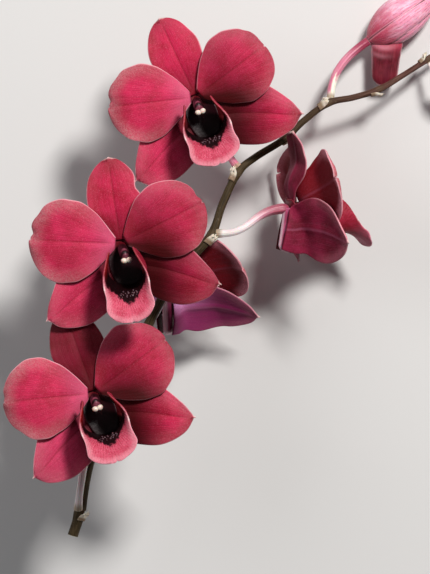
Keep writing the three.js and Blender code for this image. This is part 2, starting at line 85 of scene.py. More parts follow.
table_mesh = bpy.data.meshes.new("table_top")
table_mesh.from_pydata([(-3, -3, 0), (3, -3, 0), (3, 3, 0), (-3, 3, 0)], [], [(0, 1, 2, 3)])
table_top = bpy.data.objects.new("table_top", table_mesh)
bpy.context.collection.objects.link(table_top)
pale_table = bpy.data.materials.new("pale_table")
pale_table.use_nodes = True
table_shader = pale_table.node_tree.nodes["Principled BSDF"]
table_shader.inputs["Base Color"].default_value = (0.72, 0.71, 0.7, 1)
table_shader.inputs["Roughness"].default_value = 0.85
table_mesh.materials.append(pale_table)
table_top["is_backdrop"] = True

room = bpy.data.worlds.new("studio")
room.use_nodes = True
room.node_tree.nodes["Background"].inputs["Color"].default_value = (0.95, 0.97, 1, 1)
room.node_tree.nodes["Background"].inputs["Strength"].default_value = 0.11
bpy.context.scene.world = room
bpy.context.scene.view_settings.view_transform = "Standard"


def studio_light(name, place, size, power, colour):
    """A square soft light at a place (m), facing the middle of the spray."""
    lamp = bpy.data.lights.new(name, "AREA")
    lamp.shape = "SQUARE"
    lamp.size, lamp.energy, lamp.color = size, power, colour
    holder = bpy.data.objects.new(name, lamp)
    bpy.context.collection.objects.link(holder)
    holder.location = place
    away = Vector(place) - Vector((0, 0, 0.05))
    holder.rotation_mode = "QUATERNION"
    holder.rotation_quaternion = away.to_track_quat("Z", "Y")


studio_light("key_light", (0.52, 0.78, 1.15), 0.24, 24, (1, 0.98, 0.955))
studio_light("second_light", (-0.85, 0.45, 1), 0.7, 3.6, (0.97, 0.98, 1))

CAMERA_HEIGHT = 2445  # mm above the spray's plane
FACES_HEIGHT = 45  # mm above it, where the open faces stand
VIEW_HEIGHT = 574 * 0.39  # mm that the view takes in there, from top to bottom
SENSOR = 36
eye = bpy.data.cameras.new("camera")
eye.sensor_width = SENSOR
eye.lens = SENSOR * (CAMERA_HEIGHT - FACES_HEIGHT) / VIEW_HEIGHT
eye.clip_end = 20
camera = bpy.data.objects.new("camera", eye)
bpy.context.collection.objects.link(camera)
camera.location = laid([[0, 0, CAMERA_HEIGHT]])[0]
camera.rotation_euler = Matrix(LYING.tolist()).to_euler()
bpy.context.scene.camera = camera

# ---- the rachis ----------------------------------------------------------------------------------
# The curved stem that carries every flower. It is smooth, wiry and finely grooved lengthwise, olive
# at the cut end and more pink towards its tip, with a slight knuckle at each node.
def curve(points):
    """A Catmull-Rom curve through points, as a function of the share, 0 to 1. Between points 1 and 2
    it leaves 1 along half the step from 0 to 2, and reaches 2 along half the step from 1 to 3."""
    points = np.array(points, float)
    padded = np.concatenate([[2 * points[0] - points[1]], points, [2 * points[-1] - points[-2]]])

    def at(share):
        place = np.clip(np.asarray(share, float), 0, 1) * (len(points) - 1)
        first = np.minimum(place.astype(int), len(points) - 2)
        w = (place - first)[..., None] if points.ndim > 1 else place - first
        p0, p1, p2, p3 = (padded[first + step] for step in range(4))
        leave, reach = (p2 - p0) / 2, (p3 - p1) / 2
        cube = (2 * p1 - 2 * p2 + leave + reach) * w**3
        square = (3 * p2 - 3 * p1 - 2 * leave - reach) * w**2
        return cube + square + leave * w + p1

    return at


rachis_line = curve([
    [-55.8, -97.5, 29], [-53, -88.1, 29.5], [-49.1, -68.3, 29], [-40.4, -45, 29],
    [-30.6, -25, 31.5], [-25.2, -13, 35], [-19, -1.5, 37.5], [-10.4, 10, 39.4],
    [-1.4, 20.4, 38.6], [3, 32.5, 35.6], [9, 44.9, 32], [16, 51, 29.5],
    [26.9, 57.9, 27], [35, 65.4, 26], [44.5, 72.3, 25.5], [54.6, 74.6, 24.5],
    [64.6, 77.8, 23], [74, 83.4, 20.8], [84, 89.9, 18.2], [97, 98.8, 15.4],
    [110, 107.6, 12.6],
])
NODES = [0.05, 0.235, 0.33, 0.4, 0.5, 0.612, 0.7, 0.8, 0.9]  # shares of its length
STEM_SIDES = 28
CUT_PROUD = 0.12  # mm by which the cut face stands proud of the stem's end
STEP = 1e-3  # the share over which a direction along a path or a sheet is measured


def unit(vectors):
    """Vectors brought to length one."""
    vectors = np.asarray(vectors, float)
    return vectors / np.maximum(np.linalg.norm(vectors, axis=-1, keepdims=True), 1e-12)


def smoothstep(low, high, value):
    """0 below low, 1 above high, and 3x^2 - 2x^3 between them."""
    share = np.clip((value - low) / (high - low), 0, 1)
    return share * share * (3 - 2 * share)


def direction(path, share):
    """The way a path runs at a share, as a vector of length one."""
    return unit(path(np.minimum(share + STEP, 1)) - path(np.maximum(share - STEP, 0)))


def bell(value, middle, width):
    """exp(-x^2), x being the value's distance from the middle in widths."""
    return np.exp(-(((value - middle) / width) ** 2))


def rachis_radius(share):
    """Tapers from 2.05 to 0.95 mm, 18 % thicker at each node, in a bell 1.2 % of the length wide."""
    swell = sum(bell(share, node, 0.012) for node in NODES)
    return (2.05 - 1.1 * share) * (1 + 0.18 * np.minimum(swell, 1))


def rachis_width(share, angle):
    """The rachis' radius, with 7 and 11 shallow grooves of 2.2 and 1.2 % that wind a little."""
    groove = 1 + 0.022 * sin(7 * angle + 9 * share) + 0.012 * sin(11 * angle - 30 * share)
    return rachis_radius(share) * groove


def tube_faces(rings, sides):
    """Faces of a tube of rings * sides points, closed at each end by a fan to one more point: the
    start's comes after the rings' points in the list, and the far end's after that."""
    here = np.arange(sides)
    there = (here + 1) % sides
    first = np.arange(rings - 1)[:, None] * sides
    corners = [first + here, first + there, first + sides + there, first + sides + here]
    last, centre = (rings - 1) * sides, np.full(sides, rings * sides)
    start = np.stack([centre, there, here], -1)
    finish = np.stack([centre + 1, last + here, last + there], -1)
    return np.stack(corners, -1).reshape(-1, 4).tolist() + start.tolist() + finish.tolist()


def tube_uv(share, turn, start, finish):
    """Both shares at every point of a tube, a column by a row, then the share at its end points."""
    both = np.stack(np.broadcast_arrays(share, turn), -1).reshape(-1, 2)
    return np.concatenate([both, [[start, 0], [finish, 0]]])


def stem_grid(path, width, depth, side, rings, sides):
    """A closed stem: rings of points at width * cos and depth * sin of the angle round a path, with
    a fan to the path's own point at each end. width and depth take (share, angle)."""
    share = np.linspace(0, 1, rings)[:, None]
    angle = np.linspace(0, 2 * pi, sides, endpoint=False)[None, :]
    centre = path(share[:, 0])
    along = direction(path, share[:, 0])
    across = unit(np.cross(along, side))
    deep = np.cross(across, along)
    shell = centre[:, None] + across[:, None] * (width(share, angle) * cos(angle))[..., None]
    shell = shell + deep[:, None] * (depth(share, angle) * sin(angle))[..., None]
    points = np.concatenate([shell.reshape(-1, 3), centre[[0, -1]]])
    return points, tube_faces(rings, sides), tube_uv(share, angle / (2 * pi), 0, 1)


def facing_out(points, faces):
    """The faces, all turned round if the volume they enclose comes out negative."""
    tris = np.array([[f[0], f[k], f[k + 1]] for f in faces for k in range(1, len(f) - 1)])
    a, b, c = (points[tris[:, k]] for k in range(3))
    if np.einsum("ij,ij->", a, np.cross(b, c)) >= 0:
        return faces
    return [f[::-1] for f in faces]


def grown_piece(node, organ, slot, *parts):
    """One mesh object from closed parts, each (points, faces, uv, {attribute: values}, material),
    laid on the table, riding on the spray and standing for its CAD node."""
    faces, kinds, count = [], [], 0
    finishes = list(dict.fromkeys(part[4] for part in parts))
    for points, part_faces, _, _, finish in parts:
        faces += [[index + count for index in face] for face in facing_out(points, part_faces)]
        kinds += [finishes.index(finish)] * len(part_faces)
        count += len(points)
    mesh = bpy.data.meshes.new(f"{node}_{organ}")
    mesh.from_pydata(laid(np.concatenate([part[0] for part in parts])).tolist(), [], faces)
    mesh.polygons.foreach_set("material_index", np.array(kinds, np.int32))
    mesh.polygons.foreach_set("use_smooth", np.ones(len(faces), bool))
    uv = np.concatenate([part[2] for part in parts])[np.concatenate(faces)]
    mesh.uv_layers.new(name="growth").uv.foreach_set("vector", uv.astype(np.float32).ravel())
    for key in dict.fromkeys(key for part in parts for key in part[3]):
        values = [np.broadcast_to(part[3].get(key, 0), len(part[0])) for part in parts]
        attribute = mesh.attributes.new(key, "FLOAT", "POINT")
        attribute.data.foreach_set("value", np.concatenate(values).astype(np.float32))
    for finish in finishes:
        mesh.materials.append(finish)
    mesh.update()
    piece = bpy.data.objects.new(mesh.name, mesh)
    bpy.context.collection.objects.link(piece)
    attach(piece, "root")
    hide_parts(node)


class Output:
    """A node's output. Every operation and method adds nodes and gives back an output."""

    def __init__(self, finish, socket):
        self.finish, self.socket = finish, socket

    def math(self, operation, other=0):
        return self.finish.add("Math", {0: self, 1: other}, operation=operation)

    def __mul__(self, other):
        return self.math("MULTIPLY", other)

    def __add__(self, other):
        return self.math("ADD", other)

    def __sub__(self, other):
        return self.math("SUBTRACT", other)

    def ramp(self, low, high, bottom=0, top=1):
        """A smooth rise from bottom at low to top at high."""
        inputs = dict(enumerate((self, low, high, bottom, top)))
        return self.finish.add("MapRange", inputs, interpolation_type="SMOOTHSTEP")

    def mix(self, below, above):
        """The colour below where this is 0, and above where it is 1."""
        return self.finish.add("Mix", {0: self, 6: below, 7: above}, 2, data_type="RGBA")

    def under(self, *layers):
        """This colour under layers, each (share, colour), from the lowest up."""
        ground = self
        for share, colour in layers:
            ground = share.mix(ground, colour)
        return ground


class Finish:
    """A procedural finish on one Principled shader."""

    def __init__(self, name, **constants):
        self.material = bpy.data.materials.new(name)
        self.material.use_nodes = True
        self.tree = self.material.node_tree
        self.shader = self.tree.nodes["Principled BSDF"]
        for key, value in constants.items():
            self.shader.inputs[key.replace("_", " ")].default_value = value

    def add(self, kind, inputs, output=0, **settings):
        """Adds a node. An output given as an input is linked to it, and a number or an (r, g, b)
        stays on its socket. Inputs and the output go by their places or names."""
        node = self.tree.nodes.new("ShaderNode" + kind)
        for key, value in settings.items():
            setattr(node, key, value)
        for key, value in inputs.items():
            if isinstance(value, Output):
                self.tree.links.new(value.socket, node.inputs[key])
            else:
                node.inputs[key].default_value = (*value, 1) if isinstance(value, tuple) else value
        return Output(self, node.outputs[output])

    def attribute(self, name):
        return self.add("Attribute", {}, "Fac", attribute_name=name)

    def attributes(self, names):
        return [self.attribute(name) for name in names.split()]

    def growth(self):
        """The share along the piece, and the share across it (or the turn round it)."""
        both = self.add("UVMap", {}, uv_map="growth")
        return [self.add("SeparateXYZ", {0: both}, axis) for axis in (0, 1)]

    def noise(self, scale, detail=2, rough=0.5, place=None):
        """Smooth noise on the object's own coordinates, or on a given place."""
        place = place or self.add("TexCoord", {}, "Object")
        inputs = {"Vector": place, "Scale": scale, "Detail": detail, "Roughness": rough}
        return self.add("TexNoise", inputs)

    def streaks(self, along, around, detail=3, rough=0.6):
        """Noise over two outputs, with about one spot to a unit of either."""
        return self.noise(1, detail, rough, self.add("CombineXYZ", {0: along, 1: around}))

    def worn(self, colour, relief, height):
        """The material in that colour, raised by that many metres where the relief is 1."""
        bump = self.add("Bump", {"Strength": 1, "Distance": height, "Height": relief})
        for output, key in ((bump, "Normal"), (colour, "Base Color")):
            self.tree.links.new(output.socket, self.shader.inputs[key])
        return self.material


def lines(across, count, half, width):
    """Fine lines, count of them across the piece: 1 on a line and 0 past width mm from it, where
    half is the half-width of the piece there in mm and across runs from -1 to 1."""
    away = (across * (count / 2)).math("PINGPONG", 0.5) * (half * (2 / count))
    return away.ramp(0, width, 1, 0)


def stem_skin():
    """Olive-brown, reddish towards the tip, with fine darker and paler streaks along it, pale flecks
    and paler knuckles, and a straw-coloured cut face with darker strands."""
    skin = Finish("stem_skin", Roughness=0.6, Specular_IOR_Level=0.12)
    share, turn = skin.growth()
    streak = skin.streaks(share * 34, turn * 26)
    fleck = skin.noise(900)
    paler = share.ramp(0.6, 0.88).mix((0.066, 0.044, 0.022), (0.13, 0.06, 0.048))
    cut = skin.noise(2600, 1).ramp(0.45, 0.6).mix((0.62, 0.56, 0.36), (0.3, 0.23, 0.12))
    ground = share.ramp(0.56, 0.86).mix((0.03, 0.02, 0.008), (0.062, 0.022, 0.016)).under(
        (streak.ramp(0.38, 0.62), paler),
        (streak.ramp(0.3, 0.44, 0.6, 0), (0.016, 0.01, 0.005)),
        (fleck.ramp(0.62, 0.72, 0, 0.4), (0.15, 0.11, 0.07)),
        (skin.attribute("knuckle").ramp(0.2, 1, 0, 0.4), (0.11, 0.076, 0.042)),
        (skin.attribute("cut").ramp(0.35, 0.65), cut))
    return skin.worn(ground, streak + fleck * 0.3, 0.00012)


STEM_SKIN = stem_skin()
points, faces, uv = stem_grid(rachis_line, rachis_width, rachis_width, [0, 0, 1], 340, STEM_SIDES)
knuckle = sum(bell(uv[:, 0], node, 0.009) for node in NODES)
stem = (points, faces, uv, {"knuckle": knuckle}, STEM_SKIN)
middle = points[-2]
proud = unit(rachis_line(0) - rachis_line(0.01)) * CUT_PROUD
rings = [middle + (points[:STEM_SIDES] - middle) * size for size in (0.999, 0.97, 0.6)]
cut = np.concatenate([rings[0], rings[1] + proud, rings[2] + proud, [middle, middle + proud]])
cut_face = (cut, tube_faces(3, STEM_SIDES), np.zeros((len(cut), 2)), {"cut": 1}, STEM_SKIN)
grown_piece("rachis", "stem", "rachis", stem, cut_face)

# ---- the bracts ----------------------------------------------------------------------------------
# A small papery scale clasps the stem at every node, below the stalk. It has dried to ivory, is torn
# along its upper edge and brown where it joins the stem.
BRACT_SIDES = [
    [0.8, -0.3, 0.5], [0.9, -0.3, -0.3], [-0.8, 0.4, 0.4], [0.5, -0.4, 0.8], [-0.4, 0.8, 0.5],
    [0.35, -0.8, -0.5], [-0.7, 0.2, 0.7], [0.5, -0.85, 0.2], [-0.3, 0.9, 0.3],
]
BRACT_LENGTH = 4.4  # mm


def blade(sheet, s, t, facing, thick, edge_round):
    """A thin blade over shares s (base to tip) and t (-1 to 1). Its faces stand thick / 2 either side
    of the sheet, less near the margin: times sqrt(1 - (1 - d / edge_round)^2), d mm from the margin,
    so that both faces meet there in one round rim. Gives points, faces, uv and how far each point
    lies from the margin, which face it is on and the blade's half-width there."""
    rows, columns = len(s), len(t)
    s, t = np.meshgrid(s, t, indexing="ij")
    middle = sheet(s, t)
    ahead, behind = (sheet(np.clip(s + step, 0, 1), t) for step in (STEP, -STEP))
    right, left = (sheet(s, np.clip(t + step, -1, 1)) for step in (STEP, -STEP))
    normal = unit(np.cross(ahead - behind, right - left)) * facing

    def away(rim):
        """How far each point of the sheet lies from the nearest of the rim's."""
        gap = middle.reshape(-1, 1, 3) - rim
        return sqrt((gap**2).sum(-1)).min(1).reshape(rows, columns)

    def both(front, back):
        """The front's value at each point, then the back's at each point inside the margin."""
        inner = back[1:-1, 1:-1].reshape((rows - 2) * (columns - 2), -1)
        return np.concatenate([front.reshape(rows * columns, -1), inner])

    margin = away(np.concatenate([middle[:, 0], middle[:, -1], middle[-1]]))
    near = np.clip(np.minimum(margin, away(middle[0])) / edge_round, 0, 1)
    inside = np.zeros((rows, columns))
    inside[1:-1, 1:-1] = 1
    lift = (thick / 2 * inside * sqrt(1 - (1 - near) ** 2))[..., None]
    half = np.linalg.norm(middle[:, -1] - middle[:, 0], axis=-1)[:, None] / 2 + 0 * margin
    front = np.arange(rows * columns).reshape(rows, columns)
    back = front.copy()
    back[1:-1, 1:-1] = rows * columns + np.arange((rows - 2) * (columns - 2)).reshape(rows - 2, -1)
    quads = [np.stack([g[:-1, :-1], g[:-1, 1:], g[1:, 1:], g[1:, :-1]], -1).reshape(-1, 4)
             for g in (front, back)]
    values = {"edge": (margin, margin), "front": ((1 + inside) / 2, 0 * inside), "half": (half, half)}
    values = {key: both(*pair)[:, 0] for key, pair in values.items()}
    uv = np.stack([s, t], -1)
    faces = quads[0].tolist() + quads[1][:, ::-1].tolist()
    return both(middle + normal * lift, middle - normal * lift), faces, both(uv, uv), values


def even_round(count):
    """Shares from -1 to 1 that crowd towards both ends: the sine of evenly spaced angles."""
    return sin(np.linspace(-pi / 2, pi / 2, count))


def rows_to_tip(widest, below, above):
    """Shares from 0 to 1: evenly to the widest place, then by the sine of even angles to the tip."""
    beyond = (1 - widest) * sin(np.linspace(0, pi / 2, above))
    return np.concatenate([np.linspace(0, widest, below, endpoint=False), widest + beyond])


def square_to(vector, axis):
    """What of a vector is square to an axis of length one, brought to length one itself."""
    return unit(np.array(vector) - axis * np.dot(vector, axis))


def stem_run(share):
    """The step from 0.4 % of the stem's length below a share to 0.4 % above it."""
    return rachis_line(share + 0.004) - rachis_line(share - 0.004)


def scale_sheet(number, node, side):
    """A scale that clasps the stem over 1.15 rad either way and closes to a point. Its upper edge is
    torn by two sines and flares about 1 mm away from the stem."""
    run = stem_run(node)
    stretch = BRACT_LENGTH * 0.008 / np.linalg.norm(run)
    out = square_to(side, unit(run))
    across = np.cross(unit(run), out)

    def sheet(s, t):
        torn = 0.16 * sin(9 * t + number) + 0.13 * sin(21 * t + 2 * number) - 0.2 * t**2
        angle = t * 1.15 * (1 - 0.6 * s**2)
        share = node + stretch * (s * (1 + s**3 * torn) - 0.95)
        flare = 0.95 * s**3 + 0.2 * s**2 * sin(7 * t + 3 * number)
        away = rachis_radius(share) + 0.45 + flare
        sideways = out * (away * cos(angle))[..., None] + across * (away * sin(angle))[..., None]
        return rachis_line(share) + sideways

    return sheet


def dry_paper():
    """Ivory, finely veined along the scale, tan at its foot, a little see-through."""
    paper = Finish("dry_bract", Roughness=0.62, Subsurface_Weight=0.12, Subsurface_Scale=0.0006)
    share, across = paper.growth()
    vein = lines(across, 16, paper.attribute("half"), 0.16)
    stain = paper.noise(700, 3)
    ground = share.ramp(0.28, 0.66).mix((0.15, 0.095, 0.05), (0.88, 0.83, 0.7)).under(
        (stain.ramp(0.52, 0.74, 0, 0.45), (0.66, 0.48, 0.38)),
        (vein * 0.35, (0.48, 0.34, 0.22)))
    return paper.worn(ground, vein + stain, 0.00008)


DRY_PAPER = dry_paper()
for number, (node, side) in enumerate(zip(NODES, BRACT_SIDES), start=1):
    sheet = scale_sheet(number, node, side)
    scale = blade(sheet, np.linspace(0, 1, 18), np.linspace(-1, 1, 34), 1, 0.4, 0.4)
    grown_piece(f"bract_{number}", "scale", "bract", (*scale, DRY_PAPER))

# ---- how each bloom sits -------------------------------------------------------------------------
# Five open blooms stand at the first five nodes, three looking straight out of the spray, one back
# and one to the side. Each has its own place, tilt and size, and its sepals and petals their lean.
# Then come the dorsal sepal's length and turn, each petal's half-width and turn, the lift and reach
# of each lateral sepal, the lip's width and swing, the column's sway, and how the stalk leaves the
# stem and the bloom and how far it runs along either way. Lengths are in mm and turns in degrees.
BLOOMS = [
    {"name": "bloom_1", "base": [-47.2, -41.7, 48], "face": [-0.04, 0.04, 0.99],
     "up": [-0.33, 0.94, -0.07], "size": 1.03, "lean": [4, 0, 0], "dorsal": [1, 0],
     "petals": [[15.1, -1.5], [14.9, 2]], "lift": [0, 0.05], "reach": [0.96, 1], "lip": [1.08, 2.5],
     "sway": 0, "out": [0.05, 0.85, 0.5], "back": [0.04, -0.3, -0.95], "arm": [16, 18]},
    {"name": "bloom_2", "base": [-18.3, 0.4, 21.5], "face": [0.31, 0.68, -0.66],
     "up": [-0.2, 0.73, 0.66], "size": 0.98, "lean": [22, 0, -13], "dorsal": [1, 0],
     "petals": [[15.9, 0], [15.9, 0]], "lift": [0.08, 0], "reach": [1, 1], "lip": [1, 0],
     "sway": 0, "out": [0.2, 0.3, -0.9], "back": [-0.4, -0.85, 0.15], "arm": [4, 6]},
    {"name": "bloom_3", "base": [-36.5, 16.8, 53], "face": [-0.05, -0.09, 0.995],
     "up": [-0.21, 0.975, 0.07], "size": 1.04, "lean": [3, -1, 0], "dorsal": [0.95, -3.5],
     "petals": [[15.5, -0.5], [14.3, 0]], "lift": [0, 0], "reach": [1, 1], "lip": [1, 1],
     "sway": 1.4, "out": [-0.6, 0.3, 0.6], "back": [0.05, 0.09, -1], "arm": [8, 12]},
    {"name": "bloom_4", "base": [31.6, 32.6, 34], "face": [0.87, 0.37, -0.31],
     "up": [-0.33, 0.93, 0.18], "size": 0.97, "lean": [13.5, 13, 0], "dorsal": [0.85, 0],
     "petals": [[15.2, 1], [15.2, 0]], "lift": [0.2, 0.1], "reach": [1, 1], "lip": [1, 0],
     "sway": 0, "out": [0.96, -0.05, 0.2], "back": [-0.95, -0.02, 0.1], "arm": [14, 16]},
    {"name": "bloom_5", "base": [-7.4, 73.7, 46], "face": [-0.03, -0.01, 0.99],
     "up": [-0.34, 0.94, -0.03], "size": 1, "lean": [2, 4, 0], "dorsal": [1, 5],
     "petals": [[14.9, -1.5], [14.5, 2]], "lift": [0, 0.08], "reach": [1, 1.115], "lip": [1.1, 1.5],
     "sway": 0, "out": [-0.62, 0.62, -0.2], "back": [0.25, -0.15, -0.95], "arm": [8, 19]},
]
for bloom in BLOOMS:
    face = unit(bloom["face"])
    up = square_to(bloom["up"], face)
    bloom["axes"] = np.stack([np.cross(up, face), up, face]) * bloom["size"]


def in_spray(bloom, points):
    """Points of a bloom (x to its right, y up, z out of its face) in the spray's plane."""
    return points @ bloom["axes"] + np.array(bloom["base"])


# ---- the pedicels --------------------------------------------------------------------------------
# Each bloom hangs on a pale pink stalk that thickens into its ribbed ovary. Behind the lip the
# sepals' foot forms the mentum, a blunt flat spur, grown in one with it.
ROOT = 1.5  # mm by which a stalk runs on into the stem
STALK_RADIUS = 1.45  # mm at its foot
STALK_TOP = np.array([0, -0.6, -3.4])  # mm from the bloom's middle, in the bloom's own directions
mentum_line = curve([[0, -0.4, -3.2], [0, -9, -6.2], [0, -17.6, -9.2]])
# How far a stalk is flushed rose, and the shares of its length over which that comes in.
BLUSH = {"bloom_5": (0.85, -0.1, 0.03), "bloom_4": (0.6, 0.35, 0.85)}


def stalk_start(share, out, radius):
    """Where a stalk's middle starts: 2.1 mm up the stem from the node, out past the stem's radius by
    0.3 mm and by as much of the stalk's own radius as leans along the stem."""
    along = unit(stem_run(share))
    offset = rachis_radius(share) + 0.3 + radius * abs(np.dot(out, along))
    return rachis_line(share) + along * 2.1 + square_to(out, along) * offset


def bent_stalk(start, out, arm, apex, back, back_arm):
    """A cubic curve that leaves the stem towards out, from ROOT mm inside start, and comes to apex
    from the direction back."""
    controls = [start - out * ROOT, start + out * arm, apex + back * back_arm, apex]

    def at(share):
        q = share[..., None]
        weights = [(1 - q) ** 3, 3 * q * (1 - q) ** 2, 3 * q**2 * (1 - q), q**3]
        return sum(weight * control for weight, control in zip(weights, controls))

    return at


def stalk_width(share, angle):
    """From 1.45 to 2.1 mm with the cube of the share, six soft ribs that deepen on the ovary, and a
    slight swelling where it leaves the stem, rounded off as part of an ellipse at its top."""
    rib = 1 + (0.015 + 0.05 * smoothstep(0.5, 1, share)) * cos(6 * angle + 1.5 * share)
    top = sqrt(1 - 0.85 * np.clip((share - 0.93) / 0.07, 0, 1) ** 2)
    return (STALK_RADIUS + 0.65 * share**3) * rib * (1 + 0.24 * bell(share, 0, 0.06)) * top


def mentum_round(share):
    """1, falling as a quarter ellipse over the last fifth."""
    return sqrt(np.maximum(0.03, 1 - np.maximum(0, (share - 0.8) / 0.2) ** 2))


def mentum_width(share, angle):
    """Half its width: 2.2 mm behind the column, 5.4 at its end but for the rounding, with 9 ribs."""
    return (2.2 + 3.2 * share) * mentum_round(share) * (1 + 0.02 * sin(9 * angle))


def mentum_depth(share, angle):
    """Half its depth: 2.1 mm, with 7 ribs that wind a little."""
    return 2.1 * mentum_round(share) * (1 + 0.03 * sin(7 * angle + 4 * share))


def stalk_skin():
    """White to pale pink, brown and then cream where it leaves the stem, with fine purple-rose ribs.
    It is crimson towards the flower, and rose where the stalk blushes. The bud's has a dry sheath."""
    skin = Finish("stalk_skin", Roughness=0.4, Subsurface_Weight=0.2, Subsurface_Scale=0.0015,
                  Sheen_Weight=0.04)
    share, turn = skin.growth()
    cloud = skin.streaks(share * 5, turn * 9, 2, 0.5)
    blush = skin.attribute("blush")
    rib = lines(turn * 2, 12, skin.attribute("half"), 0.35) * share.ramp(0.6, 0.9, 1, 0.3)
    ground = cloud.ramp(0.38, 0.7, 0, blush + 0.25).mix((0.95, 0.9, 0.87), (0.78, 0.45, 0.58)).under(
        (blush, (0.6, 0.1, 0.2)),
        (share.ramp(0.5, 0.88, 0, 0.9), (0.3, 0.018, 0.055)),
        (rib * share.ramp(0.1, 0.6, 0.12, 0.4), (0.62, 0.24, 0.36)),
        (share.ramp(0, 0.07, 0.7, 0), (0.8, 0.74, 0.58)),
        (skin.attribute("paper"), (0.92, 0.88, 0.74)),
        (share.ramp(0.02, 0.075, 0.75, 0), (0.3, 0.2, 0.1)))
    return skin.worn(ground, skin.noise(1400) - rib, 0.0001)


def mentum_skin():
    """Translucent rose-purple with fine darker veins, pale pink along its ridges and its end, and
    maroon where it lines the throat."""
    skin = Finish("mentum_skin", Roughness=0.42, Subsurface_Weight=0.15, Subsurface_Scale=0.0012)
    cloud = skin.noise(260, 3)
    vein = lines(skin.growth()[1] * 2, 22, skin.attribute("half"), 0.3)
    ground = cloud.ramp(0.35, 0.7).mix((0.3, 0.03, 0.09), (0.44, 0.075, 0.17)).under(
        (skin.attribute("ridge").ramp(0.45, 1), (0.83, 0.55, 0.64)),
        (vein * 0.3, (0.3, 0.03, 0.1)),
        (skin.attribute("throat"), (0.05, 0.003, 0.006)))
    return skin.worn(ground, cloud - vein, 0.0001)


STALK_SKIN, MENTUM_SKIN = stalk_skin(), mentum_skin()
spur_points, spur_faces, spur_uv = stem_grid(mentum_line, mentum_width, mentum_depth, [1, 0, 0], 60, 48)
forwards = unit(spur_points - mentum_line(spur_uv[:, 0]) + 1e-9)[:, 2]
spur_values = {
    "ridge": np.abs(cos(2 * pi * spur_uv[:, 1])) ** 3 + smoothstep(0.82, 1, spur_uv[:, 0]),
    "throat": smoothstep(0.1, 0.6, forwards) * (1 - smoothstep(0.4, 0.65, spur_uv[:, 0])),
    "half": 9,
}
for node, bloom in zip(NODES, BLOOMS):
    out, back = unit(bloom["out"]), unit(bloom["back"])
    start = stalk_start(node, out, STALK_RADIUS)
    apex, (arm, back_arm) = in_spray(bloom, STALK_TOP), bloom["arm"]
    path = bent_stalk(start, out, arm, apex, back, back_arm)
    points, faces, uv = stem_grid(path, stalk_width, stalk_width, np.cross(out, back), 110, 36)
    flush, low, high = BLUSH.get(bloom["name"], (0, 0.1, 0.45))
    values = {"half": 3.2, "blush": flush * smoothstep(low, high, uv[:, 0])}
    grown_piece(f"{bloom['name']}_pedicel", "stalk", "pedicel", (points, faces, uv, values, STALK_SKIN),
                (in_spray(bloom, spur_points), spur_faces, spur_uv, spur_values, MENTUM_SKIN))

# ---- the sepals and petals -----------------------------------------------------------------------
# Five velvety blades round the column: two broad petals in front, a narrower dorsal sepal and two
# lateral sepals behind them. Crimson-rose inside and duller outside, with a thread of pale rim.
PETAL_LENGTH, DORSAL_LENGTH = 32.3, 32  # mm
BLADE_THICK = 0.8  # mm, of the lips too
# The lateral sepals' margins, for the left one, from behind the column and the mentum to the tip.
upper_margin = curve([
    [-2.9, -0.6, -4.4], [-3.6, 0.6, -2.6], [-6.4, 1, -1.6], [-14, 0.6, -0.9],
    [-23.6, -5, -0.5], [-30.4, -15, -0.6], [-33, -21.6, -0.9],
])
lower_margin = curve([
    [-2.9, -14.4, -13.4], [-3.3, -18.2, -8.6], [-5, -20, -4.4], [-10.4, -24, -3.2],
    [-18.4, -27.2, -2], [-27.6, -26.4, -1.3], [-32.6, -22.6, -1],
])
# Dents of the margins, bloom by bloom: (along, across, depth, width) in mm on the flat blade.
PETAL_DENTS = {
    "bloom_1": [[(32.3, 1.5, 0.7, 1.8), (26.5, -11.5, 0.5, 3)],
                [(32.3, -1, 0.6, 2.4), (25, 13, 0.7, 3)]],
    "bloom_2": [[(32.3, 0, 0.8, 1.8)], [(32.3, 0, 0.8, 1.8)]],
    "bloom_3": [[(32, 2.2, 1.5, 1.9), (29, 9.5, 0.5, 2.5)], [(31.6, 3, 0.9, 2), (24, 14.5, 0.5, 3)]],
    "bloom_4": [[(32.3, 0.5, 0.7, 1.8)], [(32.3, -0.5, 0.7, 1.8)]],
    "bloom_5": [[(32, 2, 1.3, 1.9), (28, 10.5, 0.4, 2.5)], [(32.4, 1.2, 1.1, 5), (29, 10, 0.4, 2)]],
}
DORSAL_DENTS = {"bloom_3": [(19.5, 8.8, 1.7, 2.6)], "bloom_5": [(24, 7.5, 0.4, 3)]}
# Painted light: how much brighter the left lateral sepal is painted past its foot.
LEFT_LATERAL_PAINTED_LIGHT = {"bloom_1": 0.28}  # how bright the left lateral sepal grows past its foot
# Painted shade over the whole right lateral sepal, set bloom by bloom.
RIGHT_LATERAL_PAINTED_SHADE = {"bloom_1": 0, "bloom_3": 0.3}  # how deep the whole of the right lateral sepal is
# The violet share below also sets how strong a painted highlight on the sepals' outside near the foot
# is.
VIOLET_AND_PAINTED_HIGHLIGHT = {"bloom_2": 0.85}  # how far the sepals' outside is flushed violet towards the foot
# Painted shade over the whole dorsal sepal; bloom_1's stands for the shadow that the bloom above casts
# on it.
DORSAL_PAINTED_SHADE = {"bloom_1": 0.72}  # how deep the whole of the dorsal sepal is


def leaned(points, mean, to_dorsal, to_left):
    """Leans points forwards about the bloom's middle, by mean + to_dorsal cos(a) + to_left sin(a)
    degrees at azimuth a from the dorsal sepal, fading in from 4 to 18 mm out."""
    x, y, z = np.moveaxis(points, -1, 0)
    azimuth = np.arctan2(-x, y)
    degrees = mean + to_dorsal * cos(azimuth) + to_left * sin(azimuth)
    angle = radians(degrees) * smoothstep(4, 18, np.hypot(x, np.maximum(y, 0)))
    radius = np.hypot(x, y)
    turned = radius * cos(angle) - z * sin(angle)
    scale = np.where(radius > 1e-6, turned / np.maximum(radius, 1e-6), 1)
    return np.stack([x * scale, y * scale, z * cos(angle) + radius * sin(angle)], -1)


